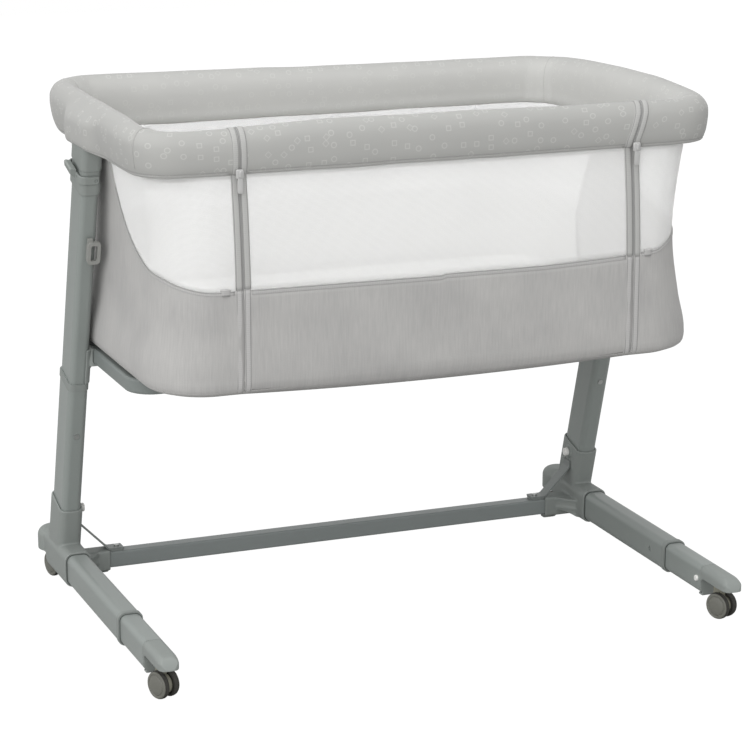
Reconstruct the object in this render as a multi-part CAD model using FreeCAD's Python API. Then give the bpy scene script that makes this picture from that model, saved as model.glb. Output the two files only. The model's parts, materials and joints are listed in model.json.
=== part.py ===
import FreeCAD, Part
import math
import os

# Bedside sleeper crib. Millimetres, +Z up, -Y is the drop side that faces the parents' bed.
# The origin is on the floor, at the centre of the footprint.

V = FreeCAD.Vector

# overall
overall_depth = 636.0        # nose of the front caps to the outside of the rear wall
leg_spacing = 844.0          # between the centre planes of the two legs
fit_gap = 0.2                # between a tube and the moulding that it is fixed in
slide_gap = 0.3              # between two telescoping tubes
rest_gap = 0.3               # between two pieces that rest on each other
tube_corner = 0.6            # corner radius of a flat tube, as a share of half its width
beyond = 900.0               # longer than the crib, for spaces that only cut

# feet
foot_width = 34.0
foot_height = 46.0
foot_center_z = 48.0
foot_wall = 1.5
foot_front_y = -130.0        # mouth of the outer foot tube
foot_back_y = 232.0
foot_guide_flange = 3.0
foot_guide_rim = 1.0
foot_guide_depth = 5.0
foot_index_y = -87.0
foot_index_radius = 3.5
foot_stop_y = -68.0
foot_stop_radius = 5.0
foot_stop_proud = 2.4
extension_wall = 1.2
extension_inner_y = 20.0
cap_joint_y = -240.0
cap_spigot = 20.0
cap_arch_y = -242.0
cap_arch_z = 50.6
cap_lug_length = 11.0
cap_lug_drop = 3.5
cap_nose_radius = 17.0
cap_chin = 3.0               # bevel under the nose
cap_arch_radius = 8.0        # of the arch's upper rear corner
cap_flank_inset = 4.0        # how far the sides below the tube's round stand in
cap_corner_radius = 11.0
snap_button_y = -231.0
snap_button_radius = 4.5
snap_button_proud = 3.0
snap_button_root = 1.0
snap_button_round = 1.4
button_gap = 0.1

# casters
wheel_radius = 19.5
wheel_width = 9.0
wheel_side_gap = 0.7
wheel_swing_gap = 1.5        # between a swivelling wheel and the moulding round it
wheel_top_gap = 0.7          # between the wheels' tops and the fork's flange
hub_cap_radius = 13.0
axle_radius = 2.5
running_gap = 0.05
caster_trail = 6.0
fork_thickness = 7.0
fork_disc_radius = 14.0
fork_neck_width = 16.0
fork_flange_radius = 8.0
fork_flange_height = 3.0
stem_radius = 4.0
stem_length = 13.0
front_caster_y = -270.0
rear_caster_y = 266.0
front_swivel = 22.0          # degrees, how the photographed casters stand
rear_swivel = 14.0

# corner brackets and crossbar
bracket_wall = 3.2
bracket_front_y = 134.0
bracket_top_z = 139.0
boss_radius = 25.0
boss_bottom_z = 41.5
boss_top_z = 76.0
boss_fillet = 13.0
boss_behind_caster = 2.0     # the boss's axis lies this far behind the swivel's
foot_socket_end = 6.0        # the foot socket ends this far before the rear swivel's axis
post_socket_low = 4.0        # the post socket starts this far above the foot's axis
socket_round = 3.0
crossbar_depth = 22.0
crossbar_height = 25.0
crossbar_wall = 1.5
crossbar_round = 3.0
crossbar_y = 196.0
crossbar_z = 38.5
crossbar_end_x = 396.0
bar_socket_end_x = 359.0
gusset_front_y = 152.0
gusset_inner_x = 374.0
rib_height = 3.0
gusset_rise = 2.0            # top of the web above the crossbar's
gusset_recess = 9.0          # depth of the two recesses in the web
gusset_edge = 3.0            # lower edge left under the recesses
gusset_lip = 4.0             # upper edge left over them
gusset_arch_radius = 30.0
gusset_arch_drop = 24.0      # the arch's centre below the foot tube
gusset_arch_in = 10.0
lug_length = 22.0
lug_depth = 12.0
lug_drop = 5.0

# brace strips and their release buttons
brace_width = 20.0
brace_thickness = 2.5
brace_top_z = 110.0
brace_bend_z = 99.0
brace_foot_x = 360.0
brace_toe_x = 337.0
brace_bend_radius = 6.0
brace_pad_thickness = 3.0
brace_screw_in = 9.0         # from the strip's toe to its screw
brace_screw_radius = 4.0
brace_screw_proud = 2.2
release_button_radius = 6.5
release_button_proud = 5.0
release_boss_height = 4.0
release_boss_wall = 2.5
release_button_z = 124.0

# leg posts
post_lean = 16.4             # degrees forward from upright
post_floor_y = 229.0         # where the post's axis would meet the floor
post_width = 29.0
post_depth = 57.0
post_wall = 1.2
post_bottom_z = 84.0
post_top_z = 343.0
collar_rim = 1.0
collar_height = 8.0
collar_lid = 2.5
inner_post_wall = 1.2
inner_post_bottom_z = 176.0
index_pitch = 25.0
index_count = 5
index_gap = 0.4
lock_pin_radius = 4.0
lock_pin_length = 16.0
lock_pin_chamfer = 1.0
lock_pin_above_foot = 16.0
post_plug_height = 32.0
height_rivet_z = 262.0
height_rivet_proud = 1.6
rivet_radius = 4.0

# hub and height lever
hub_rim = 2.4
hub_below_lever = 17.0
lever_below_cap = 45.0       # from the hub's top to the lever's lower face
lever_height = 12.0
lever_gap = 2.9
lever_wall = 2.4
lever_wing_out = 28.0        # outermost point of the lever, from the post's axis
lever_wing_rise = 7.0
lever_wing_width = 30.0
lever_pivot_in = 6.0
lever_pivot_radius = 2.0
hub_band_height = 19.0
hub_below_tube = 24.0        # from the rail tube's axis to the hub's top
saddle_width = 26.0
saddle_length = 38.0
saddle_out = 3.0             # from the rail tube's axis to the saddle's middle, outwards
saddle_back = 4.0            # from the post's axis to the saddle's middle, rearwards
saddle_round = 4.0
hub_band_wall = 1.2
hub_fit = 0.8                # room between the hub's saddle and the cover

# bassinet frame
rail_length = 856.0
rail_width = 536.0
rail_corner = 78.0
rail_tube_radius = 11.0
rail_tube_wall = 1.5
rail_tube_z = 722.0
rail_thickness = 42.0
rail_below_tube = 34.0       # from the tube's axis to the cover's lower edge
rail_above_tube = 30.0
rail_inner_drop = 12.0
rail_crown = 17.0            # radius of the cover's upper edges
under_frame_width = 14.0
under_frame_height = 22.0
under_frame_wall = 1.5
under_frame_bend = 32.0
under_frame_front_y = -100.0
under_frame_rear_y = 216.0
arm_rim = 3.4
arm_top_z = 399.0
arm_wrap = 6.0               # how far the arm bracket reaches round the post's inner corners
arm_rib_drop = 18.0
arm_rib_width = 30.0
arm_block_inner_x = 389.0

# fabric walls
shell_length = 805.0         # at the widest height
shell_width = 552.0
wall_thickness = 2.5
wall_corner = 76.0
shell_bottom_z = 392.0
mesh_share = 0.491           # share of the wall's height that is cloth, below the mesh
zip_x = 287.0
zip_gap = 0.6
zip_tape_width = 12.0
panel_seam_x = 290.0
rear_seam_y = 142.0
# derived heights
rail_bottom_z = rail_tube_z - rail_below_tube
rail_top_z = rail_tube_z + rail_above_tube
hub_top_z = rail_tube_z - hub_below_tube
lever_bottom_z = hub_top_z - lever_below_cap
hub_bottom_z = lever_bottom_z - hub_below_lever
inner_post_top_z = hub_top_z - 8.0
wall_height = rail_bottom_z - rest_gap - shell_bottom_z
mesh_bottom_z = shell_bottom_z + wall_height * mesh_share
# share of the wall's height, and how far its outside stands in there from its widest half length and width
wall_levels = [(0.0, 10.5, 10.0), (0.024, 3.0, 3.0), (0.075, 0.0, 0.0), (0.264, 9.5, 0.0), (0.508, 15.5, 0.0),
               (0.78, 11.5, 6.0), (1.0, 0.5, 14.0)]
# the curved seam between mesh and end panel, as (y, share of the mesh's height)
seam_points = [(-3.0, 1.0), (-22.0, 0.715), (-50.0, 0.477), (-90.0, 0.318), (-139.0, 0.238), (-190.0, 0.159),
               (-224.0, 0.079), (-233.0, 0.0)]

# bed
floor_thickness = 2.5
board_thickness = 8.0
board_margin = 5.0
mattress_thickness = 27.0
mattress_crown = 4.0
mattress_margin = 8.0

# zip sliders and strap loops
slider_width = 16.0
slider_height = 13.0
slider_thickness = 4.5
slider_above_hem = 9.0
pull_width = 7.0
pull_length = 21.0
pull_thickness = 1.6
pull_pin_radius = 1.0
pull_pin_drop = 2.2          # from the slider's lower face to the pin's axis
pull_eye_wall = 0.9
ear_thickness = 1.6
loop_z = 552.5
loop_height = 34.0
loop_width = 18.5
loop_depth = 6.0
loop_slot_width = 9.0
loop_slot_height = 24.0
loop_standoff = 3.0          # between the loop and the post's front, where the strap passes
loop_past_axis = 1.5         # how far the loop's outer edge passes the post's axis
loop_corner = 5.0
loop_tab_width = 7.0
loop_tab_height = 5.0
tab_width = 15.0
tab_height = 7.0
tab_thickness = 2.0

# derived places
bed_y = overall_depth / 2 - shell_width / 2
nose_y = -overall_depth / 2
leg_x = leg_spacing / 2
lean = math.radians(post_lean)
extension_width = foot_width - 2 * foot_wall - 2 * slide_gap
extension_height = foot_height - 2 * foot_wall - 2 * slide_gap
inner_width = post_width - 2 * post_wall - 2 * slide_gap
inner_depth = post_depth - 2 * post_wall - 2 * slide_gap
rail_tube_x = rail_length / 2 - rail_thickness / 2
rail_tube_y = rail_width / 2 - rail_thickness / 2
wheel_offset = fork_thickness / 2 + wheel_side_gap
crossbar_top_z = crossbar_z + crossbar_height / 2
socket_width = post_width + 2 * bracket_wall
socket_depth = post_depth + 2 * bracket_wall
socket_face_x = leg_x - socket_width / 2
under_frame_x = arm_block_inner_x + under_frame_width / 2 + 1.0
under_frame_z = shell_bottom_z - rest_gap - under_frame_height / 2
sides = [("left", -1), ("right", 1)]
parts = {}


# ---------------------------------------------------------------- shapes
def box(x0, x1, y0, y1, z0, z1):
    low = V(min(x0, x1), min(y0, y1), z0)
    return Part.makeBox(abs(x1 - x0), abs(y1 - y0), z1 - z0, low)


def rod(radius, start, end):
    return Part.makeCylinder(radius, (end - start).Length, start, end - start)


def flat_oval(width, length):
    """Face of a flat tube's section in the XY plane: long along Y, with well rounded corners."""
    r = tube_corner * width / 2
    cx = width / 2 - r
    cy = length / 2 - r
    c = r * math.sqrt(0.5)
    edges = []
    for sx, sy in ((1, 1), (-1, 1), (-1, -1), (1, -1)):
        on_side = V(sx * (cx + r), sy * cy, 0)
        on_end = V(sx * cx, sy * (cy + r), 0)
        middle = V(sx * (cx + c), sy * (cy + c), 0)
        start, end = (on_side, on_end) if sx * sy > 0 else (on_end, on_side)
        if edges:
            edges.append(Part.makeLine(edges[-1].Vertexes[-1].Point, start))
        edges.append(Part.Arc(start, middle, end).toShape())
    edges.append(Part.makeLine(edges[-1].Vertexes[-1].Point, edges[0].Vertexes[0].Point))
    return Part.Face(Part.Wire(edges))


def oval_prism(width, length, low, high):
    prism = flat_oval(width, length).extrude(V(0, 0, high - low))
    prism.translate(V(0, 0, low))
    return prism


def along_foot(shape, side):
    """Takes a shape whose Z runs along the foot, towards the rear, to its place at foot height."""
    shape.rotate(V(0, 0, 0), V(1, 0, 0), -90)
    shape.translate(V(side * leg_x, 0, foot_center_z))
    return shape


def foot_prism(width, height, front, back, side):
    return along_foot(oval_prism(width, height, front, back), side)


def on_post(shape, side):
    """Takes a shape whose Z runs up the post's axis to its place on the leaning post."""
    shape.rotate(V(0, 0, 0), V(1, 0, 0), post_lean)
    shape.translate(V(side * leg_x, post_floor_y, 0))
    return shape


def post_s(z):
    """Distance along the post's axis at which it stands at height z."""
    return z / math.cos(lean)


def post_y(z):
    return post_floor_y - z * math.tan(lean)


def post_prism(width, depth, low_z, high_z, side):
    return on_post(oval_prism(width, depth, post_s(low_z), post_s(high_z)), side)


def rounded_rectangle(half_x, half_y, radius, z):
    c = radius * (1 - math.sqrt(0.5))
    points = [(half_x, half_y), (-half_x, half_y), (-half_x, -half_y), (half_x, -half_y)]
    edges = []
    last = None
    for x, y in points:
        sx = 1 if x > 0 else -1
        sy = 1 if y > 0 else -1
        mid = V(x - sx * c, y - sy * c + bed_y, z)
        on_x = V(x, y - sy * radius + bed_y, z)
        on_y = V(x - sx * radius, y + bed_y, z)
        start, end = (on_x, on_y) if sx * sy > 0 else (on_y, on_x)
        if last is not None:
            edges.append(Part.makeLine(last, start))
        edges.append(Part.Arc(start, mid, end).toShape())
        last = end
    edges.append(Part.makeLine(last, edges[0].Vertexes[0].Point))
    return Part.Wire(edges)


def slab(half_x, half_y, radius, low, high):
    face = Part.Face(rounded_rectangle(half_x, half_y, radius, low))
    return face.extrude(V(0, 0, high - low))


def biggest(shape):
    return max(shape.Solids, key=lambda s: s.Volume)


def keep(name, *shapes):
    """Stores the solids of a piece under the name that it is written with."""
    solids = []
    for shape in shapes:
        solids += shape.removeSplitter().Solids
    parts[name] = solids[0] if len(solids) == 1 else Part.makeCompound(solids)


# ---------------------------------------------------------------- feet
def outer_foot(side):
    tube = foot_prism(foot_width, foot_height, foot_front_y, foot_back_y, side)
    bore = foot_prism(foot_width - 2 * foot_wall, foot_height - 2 * foot_wall,
                      foot_front_y - 1, foot_back_y + 1, side)
    x = side * leg_x
    hole = rod(foot_index_radius, V(x, foot_index_y, foot_center_z), V(x - side * foot_width, foot_index_y,
                                                                      foot_center_z))
    return tube.cut(bore).cut(hole)


def foot_guide(side):
    """Plastic lip on the mouth of the outer foot, with the opening that the extension slides through."""
    front = foot_front_y - foot_guide_flange
    flange = foot_prism(foot_width + 2 * foot_guide_rim, foot_height + 2 * foot_guide_rim,
                        front, foot_front_y, side)
    skirt = foot_prism(foot_width + 2 * foot_guide_rim, foot_height + 2 * foot_guide_rim,
                       foot_front_y, foot_front_y + foot_guide_depth, side)
    skirt = skirt.cut(foot_prism(foot_width + 2 * fit_gap, foot_height + 2 * fit_gap,
                                 foot_front_y, foot_front_y + foot_guide_depth, side))
    opening = foot_prism(extension_width + 2 * slide_gap, extension_height + 2 * slide_gap,
                         front - 1, foot_front_y + foot_guide_depth + 1, side)
    return flange.fuse(skirt).cut(opening)


def extension(side):
    tube = foot_prism(extension_width, extension_height, cap_joint_y, extension_inner_y, side)
    bore = foot_prism(extension_width - 2 * extension_wall, extension_height - 2 * extension_wall,
                      cap_joint_y - 1, extension_inner_y + 1, side)
    x = side * leg_x
    z = foot_center_z
    hole = rod(snap_button_radius + button_gap, V(x, snap_button_y, z),
               V(x - side * foot_width, snap_button_y, z))
    return tube.cut(bore).cut(hole)


def end_cap(side):
    """Moulded end of the extension: a nose over the caster, an arch below it and a lug behind it."""
    top = foot_center_z + extension_height / 2
    bottom = foot_center_z - extension_height / 2
    lug_z = bottom - cap_lug_drop
    lug_back = cap_arch_y + cap_lug_length
    nose_low = cap_arch_z
    drop = top - nose_low
    arc_start = nose_y + cap_nose_radius
    arc_mid = V(0, nose_y + cap_nose_radius * 0.22, top - drop * 0.26)
    arch_start = cap_arch_y - cap_arch_radius
    arch_low = nose_low - cap_arch_radius
    arch_mid = V(0, cap_arch_y - cap_arch_radius * 0.3, nose_low - cap_arch_radius * 0.3)
    profile = [
        Part.makeLine(V(0, cap_joint_y, bottom), V(0, cap_joint_y, top)),
        Part.makeLine(V(0, cap_joint_y, top), V(0, arc_start, top)),
        Part.Arc(V(0, arc_start, top), arc_mid, V(0, nose_y, nose_low + cap_chin)).toShape(),
        Part.makeLine(V(0, nose_y, nose_low + cap_chin), V(0, nose_y + cap_chin, nose_low)),
        Part.makeLine(V(0, nose_y + cap_chin, nose_low), V(0, arch_start, nose_low)),
        Part.Arc(V(0, arch_start, nose_low), arch_mid, V(0, cap_arch_y, arch_low)).toShape(),
        Part.makeLine(V(0, cap_arch_y, arch_low), V(0, cap_arch_y, lug_z)),
        Part.makeLine(V(0, cap_arch_y, lug_z), V(0, lug_back, lug_z)),
        Part.makeLine(V(0, lug_back, lug_z), V(0, lug_back, bottom - fit_gap)),
        Part.makeLine(V(0, lug_back, bottom - fit_gap), V(0, cap_joint_y, bottom - fit_gap)),
        Part.makeLine(V(0, cap_joint_y, bottom - fit_gap), V(0, cap_joint_y, bottom)),
    ]
    body = Part.Face(Part.Wire(profile)).extrude(V(extension_width, 0, 0))
    body.translate(V(side * leg_x - extension_width / 2, 0, 0))
    # the section seen from the front: the tube's round top, and straight sides down to the lug
    section = foot_prism(extension_width, extension_height, nose_y - 1, lug_back + 1, side)
    flank = extension_width / 2 - cap_flank_inset
    section = section.fuse(box(side * leg_x - flank, side * leg_x + flank, nose_y - 1, lug_back + 1,
                               lug_z - 1, foot_center_z))
    plan = box(side * leg_x - extension_width / 2, side * leg_x + extension_width / 2,
               nose_y, lug_back + 1, lug_z - 1, top + 1)
    front_edges = [e for e in plan.Edges if abs(e.Vertexes[0].Z - e.Vertexes[-1].Z) > 5
                   and e.BoundBox.YMax < nose_y + 1]
    plan = plan.makeFillet(cap_corner_radius, front_edges)
    body = body.common(section).common(plan)
    spigot = foot_prism(extension_width - 2 * extension_wall - 2 * fit_gap,
                        extension_height - 2 * extension_wall - 2 * fit_gap,
                        cap_joint_y - 0.5, cap_joint_y + cap_spigot, side)
    x = side * leg_x
    button_hole = rod(snap_button_radius + button_gap, V(x + side * 6, snap_button_y, foot_center_z),
                      V(x - side * foot_width, snap_button_y, foot_center_z))
    stem_hole = rod(stem_radius + running_gap, V(x, front_caster_y, cap_arch_z - 1),
                    V(x, front_caster_y, cap_arch_z + stem_length + 2))
    return body.fuse(spigot).cut(button_hole).cut(stem_hole)


def snap_button(side):
    """Domed button in the extension's inner face; it slides inward along X."""
    face = leg_x - extension_width / 2
    tip = V(side * (face - snap_button_proud), snap_button_y, foot_center_z)
    root = V(side * (leg_x - snap_button_root), snap_button_y, foot_center_z)
    button = rod(snap_button_radius, root, tip)
    rim = [e for e in button.Edges if e.BoundBox.XLength < 0.01 and abs(e.BoundBox.Center.x - tip.x) < 0.1]
    return button.makeFillet(snap_button_round, rim)


# ---------------------------------------------------------------- casters
def caster_place(shape, side, y, swivel):
    shape.rotate(V(0, 0, 0), V(0, 0, 1), swivel)
    shape.translate(V(side * leg_x, y, 0))
    return shape


def caster_fork(seat_z):
    """Stem, flange and hub housing of a twin-wheel caster, with its stem on the Z axis."""
    axle = V(0, -caster_trail, wheel_radius)
    half = fork_thickness / 2
    disc = rod(fork_disc_radius, axle - V(half, 0, 0), axle + V(half, 0, 0))
    flange_top = seat_z - rest_gap
    flange_z = max(flange_top - fork_flange_height, 2 * wheel_radius + wheel_top_gap)
    neck = box(-half, half, -fork_neck_width / 2 - 1, fork_neck_width / 2 - 1, wheel_radius, flange_z)
    flange = rod(fork_flange_radius, V(0, 0, flange_z), V(0, 0, flange_top))
    stem = rod(stem_radius, V(0, 0, flange_top - 1), V(0, 0, seat_z + stem_length))
    fork = disc.fuse(neck).fuse(flange).fuse(stem)
    bore = rod(axle_radius + running_gap, axle - V(half + 1, 0, 0), axle + V(half + 1, 0, 0))
    return fork.cut(bore)


def wheel_profile():
    """Half section of one wheel: tread with a groove, rounded shoulders, a raised hub cap."""
    r = wheel_radius
    x0 = wheel_offset
    x1 = x0 + wheel_width
    groove = 0.8
    lines = [
        (x0, 0), (x0, r - 2.5), (x0 + 1.2, r - 0.4), (x0 + 2.4, r), (x0 + 5.6, r),
        (x0 + 6.0, r - groove), (x0 + 6.8, r - groove), (x0 + 7.2, r - 0.3), (x1 - 0.6, r - 1.4),
        (x1, r - 3.0), (x1, hub_cap_radius + 1.4), (x1 - 0.6, hub_cap_radius + 0.9),
        (x1 - 0.6, hub_cap_radius), (x1 + 0.5, hub_cap_radius - 0.9), (x1 + 0.9, 0),
    ]
    points = [V(x, 0, rr) for x, rr in lines]
    return Part.Face(Part.makePolygon(points + [points[0]]))


def wheel_pair():
    """Both wheels and the axle that carries them through the fork."""
    center = V(0, -caster_trail, wheel_radius)
    wheel = wheel_profile().revolve(V(0, 0, 0), V(1, 0, 0), 360)
    other = wheel.mirror(V(0, 0, 0), V(1, 0, 0))
    axle = rod(axle_radius, V(-wheel_offset - 2, 0, 0), V(wheel_offset + 2, 0, 0))
    pair = wheel.fuse(other).fuse(axle)
    pair.translate(center)
    return pair


# ---------------------------------------------------------------- brackets and crossbar
def bracket(side):
    """Corner moulding: foot socket, post socket, crossbar socket and the boss over the rear caster."""
    x = side * leg_x
    foot = foot_prism(foot_width + 2 * bracket_wall, foot_height + 2 * bracket_wall,
                      bracket_front_y, rear_caster_y - foot_socket_end, side)
    socket = post_prism(socket_width, socket_depth, foot_center_z + post_socket_low, bracket_top_z, side)
    boss_y = rear_caster_y + boss_behind_caster
    boss = rod(boss_radius, V(x, boss_y, boss_bottom_z), V(x, boss_y, boss_top_z))
    top_edge = [e for e in boss.Edges if e.BoundBox.ZMin > boss_top_z - 0.1]
    boss = boss.makeFillet(boss_fillet, top_edge)
    wall = bracket_wall
    sleeve = box(side * bar_socket_end_x, x, crossbar_y - crossbar_depth / 2 - wall,
                 crossbar_y + crossbar_depth / 2 + wall,
                 crossbar_z - crossbar_height / 2 - wall, crossbar_top_z + wall)
    long_edges = [e for e in sleeve.Edges if e.BoundBox.XLength > 5]
    sleeve = sleeve.makeFillet(socket_round, long_edges)
    body = foot.fuse(socket).fuse(boss).fuse(sleeve).fuse(gusset(side)).fuse(bar_lug(side))
    # round boss that guides the release button
    y = post_y(release_button_z)
    face = V(side * (socket_face_x + 6), y, release_button_z)
    lip = V(side * (socket_face_x - release_boss_height), y, release_button_z)
    body = body.fuse(rod(release_button_radius + release_boss_wall, face, lip))
    # sockets
    body = body.cut(foot_prism(foot_width + 2 * fit_gap, foot_height + 2 * fit_gap,
                               bracket_front_y - 1, foot_back_y + fit_gap, side))
    body = body.cut(post_prism(post_width + 2 * fit_gap, post_depth + 2 * fit_gap,
                               post_bottom_z - 1, bracket_top_z + 20, side))
    body = body.cut(box(side * (bar_socket_end_x - 1), side * (crossbar_end_x + fit_gap),
                        crossbar_y - crossbar_depth / 2 - fit_gap, crossbar_y + crossbar_depth / 2 + fit_gap,
                        crossbar_z - crossbar_height / 2 - fit_gap, crossbar_top_z + fit_gap))
    body = body.cut(rod(release_button_radius + button_gap, V(x, y, release_button_z),
                        V(side * (socket_face_x - 20), y, release_button_z)))
    swing = math.hypot(wheel_offset + wheel_width, caster_trail + wheel_radius - 1.5) + wheel_swing_gap
    body = body.cut(rod(swing, V(x, rear_caster_y, 0), V(x, rear_caster_y, boss_bottom_z)))
    body = body.cut(rod(stem_radius + running_gap, V(x, rear_caster_y, boss_bottom_z - 1),
                        V(x, rear_caster_y, boss_bottom_z + stem_length + 2)))
    return body


def gusset(side):
    """Recessed web with a rib, between the foot socket and the crossbar socket, arched below."""
    x0 = gusset_inner_x
    x1 = leg_x - foot_width / 2
    low = foot_center_z - foot_height / 2
    back = crossbar_y
    web_top = crossbar_top_z + gusset_rise
    plan = [V(x1, gusset_front_y, 0), V(x0, crossbar_y - crossbar_depth / 2, 0), V(x0, back, 0),
            V(x1, back, 0)]
    web = Part.Face(Part.makePolygon(plan + [plan[0]])).extrude(V(0, 0, web_top - low))
    web.translate(V(0, 0, low))
    near, far = [p - V(3, 4, 0) for p in (V(x1, gusset_front_y, 0), V(x0, back - crossbar_depth / 2, 0))]
    depth = V(0, gusset_recess, 0)
    recess = Part.Face(Part.makePolygon([near - depth, far - depth, far + depth, near + depth, near - depth]))
    middle = crossbar_z - 1
    lower = recess.extrude(V(0, 0, middle - rib_height / 2 - low - gusset_edge))
    lower.translate(V(0, 0, low + gusset_edge))
    upper = recess.extrude(V(0, 0, web_top - gusset_lip - middle - rib_height / 2))
    upper.translate(V(0, 0, middle + rib_height / 2))
    web = web.cut(lower).cut(upper)
    arch_x = x0 + gusset_arch_in
    arch_z = low - gusset_arch_drop
    arch = rod(gusset_arch_radius, V(arch_x, 0, arch_z), V(arch_x, beyond, arch_z))
    web = web.cut(arch)
    if side < 0:
        web = web.mirror(V(0, 0, 0), V(1, 0, 0))
    return web


def bar_lug(side):
    """Small lug with the crossbar's locking screw, under the socket's inner end."""
    x0 = bar_socket_end_x + 1
    z = crossbar_z - crossbar_height / 2 - bracket_wall
    half = lug_depth / 2
    lug = box(side * x0, side * (x0 + lug_length), crossbar_y - half, crossbar_y + half, z - lug_drop, z + 1)
    under = [e for e in lug.Edges if e.BoundBox.ZMax < z - lug_drop + 1]
    return lug.makeFillet(lug_drop / 2, under)


def crossbar():
    h = crossbar_height / 2
    d = crossbar_depth / 2
    bar = box(-crossbar_end_x, crossbar_end_x, crossbar_y - d, crossbar_y + d, crossbar_z - h, crossbar_z + h)
    bar = bar.makeFillet(crossbar_round, [e for e in bar.Edges if e.BoundBox.XLength > 5])
    w = crossbar_wall
    bore = box(-crossbar_end_x - 1, crossbar_end_x + 1, crossbar_y - d + w, crossbar_y + d - w,
               crossbar_z - h + w, crossbar_z + h - w)
    bore = bore.makeFillet(crossbar_round - 1, [e for e in bore.Edges if e.BoundBox.XLength > 5])
    return bar.cut(bore)


def bent_strip(points, radius, thickness):
    """Closed wire of a strip with constant thickness along a path in the XZ plane, with round bends."""
    def offset_path(distance):
        edges = []
        last = None
        for i, p in enumerate(points):
            if i in (0, len(points) - 1):
                a, b = (points[0], points[1]) if i == 0 else (points[-2], points[-1])
                d = (b - a).normalize()
                n = V(-d.z, 0, d.x)
                q = p + n * distance
                if last is not None:
                    edges.append(Part.makeLine(last, q))
                last = q
                continue
            d0 = (p - points[i - 1]).normalize()
            d1 = (points[i + 1] - p).normalize()
            turn = math.acos(max(-1.0, min(1.0, d0.dot(d1))))
            sign = 1 if d0.x * d1.z - d0.z * d1.x > 0 else -1
            reach = (radius + thickness / 2) * math.tan(turn / 2)
            n0 = V(-d0.z, 0, d0.x)
            n1 = V(-d1.z, 0, d1.x)
            center = p - d0 * reach + n0 * (sign * (radius + thickness / 2))
            r = radius + thickness / 2 - sign * distance
            start = center - n0 * (sign * r)
            end = center - n1 * (sign * r)
            mid = center - (n0 + n1).normalize() * (sign * r)
            edges.append(Part.makeLine(last, start))
            edges.append(Part.Arc(start, mid, end).toShape())
            last = end
        return edges, last
    near, near_end = offset_path(thickness / 2)
    far, far_end = offset_path(-thickness / 2)
    first_near = near[0].Vertexes[0].Point
    first_far = far[0].Vertexes[0].Point
    edges = near + [Part.makeLine(near_end, far_end)] + far + [Part.makeLine(first_far, first_near)]
    return Part.Wire(Part.__sortEdges__(edges))


def brace(side):
    """Bent steel strip from the bracket's inner face down to the top of the crossbar."""
    half = brace_thickness / 2
    x_leg = socket_face_x - half - fit_gap
    z_foot = crossbar_top_z + brace_pad_thickness + half
    path = [V(side * x_leg, 0, brace_top_z), V(side * x_leg, 0, brace_bend_z),
            V(side * brace_foot_x, 0, z_foot), V(side * brace_toe_x, 0, z_foot)]
    y0 = crossbar_y - brace_width / 2
    strip = Part.Face(bent_strip(path, brace_bend_radius, brace_thickness)).extrude(V(0, brace_width, 0))
    strip.translate(V(0, y0, 0))
    pad = box(side * (brace_toe_x + 1), side * (brace_foot_x - 2), y0, y0 + brace_width,
              crossbar_top_z, crossbar_top_z + brace_pad_thickness)
    return strip.fuse(pad)


def release_button(side):
    """White push button in the bracket's inner face, above the brace strip."""
    y = post_y(release_button_z)
    lip = socket_face_x - release_boss_height
    tip = V(side * (lip - release_button_proud), y, release_button_z)
    root = V(side * (socket_face_x - 0.5), y, release_button_z)
    button = rod(release_button_radius, root, tip)
    rim = [e for e in button.Edges if abs(e.BoundBox.Center.x - tip.x) < 0.1]
    return button.makeFillet(1.5, rim)


def fasteners():
    """Screws and rivets of the base: brace feet, brace legs, height stops and foot stops."""
    found = []
    z_top = crossbar_top_z + brace_pad_thickness + brace_thickness
    for side in (-1, 1):
        x = side * (brace_toe_x + brace_screw_in)
        foot = V(x, crossbar_y, z_top)
        found.append(rod(brace_screw_radius, foot, foot + V(0, 0, brace_screw_proud)))
        rivet = rod(rivet_radius, V(0, -post_depth / 2 - height_rivet_proud, 0), V(0, 0, 0))
        rivet.translate(V(0, 0, post_s(height_rivet_z)))
        tube = post_prism(post_width, post_depth, post_bottom_z, post_top_z, side)
        found.append(on_post(rivet, side).cut(tube))
        low = foot_center_z - foot_height / 2
        stud = rod(foot_stop_radius, V(side * leg_x, foot_stop_y, low - foot_stop_proud),
                   V(side * leg_x, foot_stop_y, foot_center_z))
        found.append(stud.cut(foot_prism(foot_width, foot_height, foot_front_y, foot_back_y, side)))
    return found


# ---------------------------------------------------------------- posts
def outer_post(side):
    """Leaning outer tube with the index holes of the height stop in its rear face."""
    tube = post_prism(post_width, post_depth, post_bottom_z, post_top_z, side)
    bore = post_prism(post_width - 2 * post_wall, post_depth - 2 * post_wall,
                      post_bottom_z - 5, post_top_z + 5, side)
    tube = tube.cut(bore)
    first = post_s(inner_post_bottom_z) + lock_pin_above_foot
    for i in range(index_count):
        hole = rod(lock_pin_radius + index_gap, V(0, 0, 0), V(0, post_depth, 0))
        hole.translate(V(0, 0, first + (i + 1) * index_pitch))
        tube = tube.cut(on_post(hole, side))
    return tube


def post_collar(side):
    """Moulded collar on the outer post's mouth; the bassinet's arm bracket rests on it."""
    rim = 2 * collar_rim
    low = post_top_z - collar_height
    skirt = post_prism(post_width + rim, post_depth + rim, low, post_top_z, side)
    skirt = skirt.cut(post_prism(post_width + 2 * fit_gap, post_depth + 2 * fit_gap, low - 5,
                                 post_top_z, side))
    lid = post_prism(post_width + rim, post_depth + rim, post_top_z, post_top_z + collar_lid, side)
    lid = lid.cut(post_prism(inner_width + 2 * slide_gap, inner_depth + 2 * slide_gap,
                             post_top_z - 5, post_top_z + 9, side))
    return skirt.fuse(lid)


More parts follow.
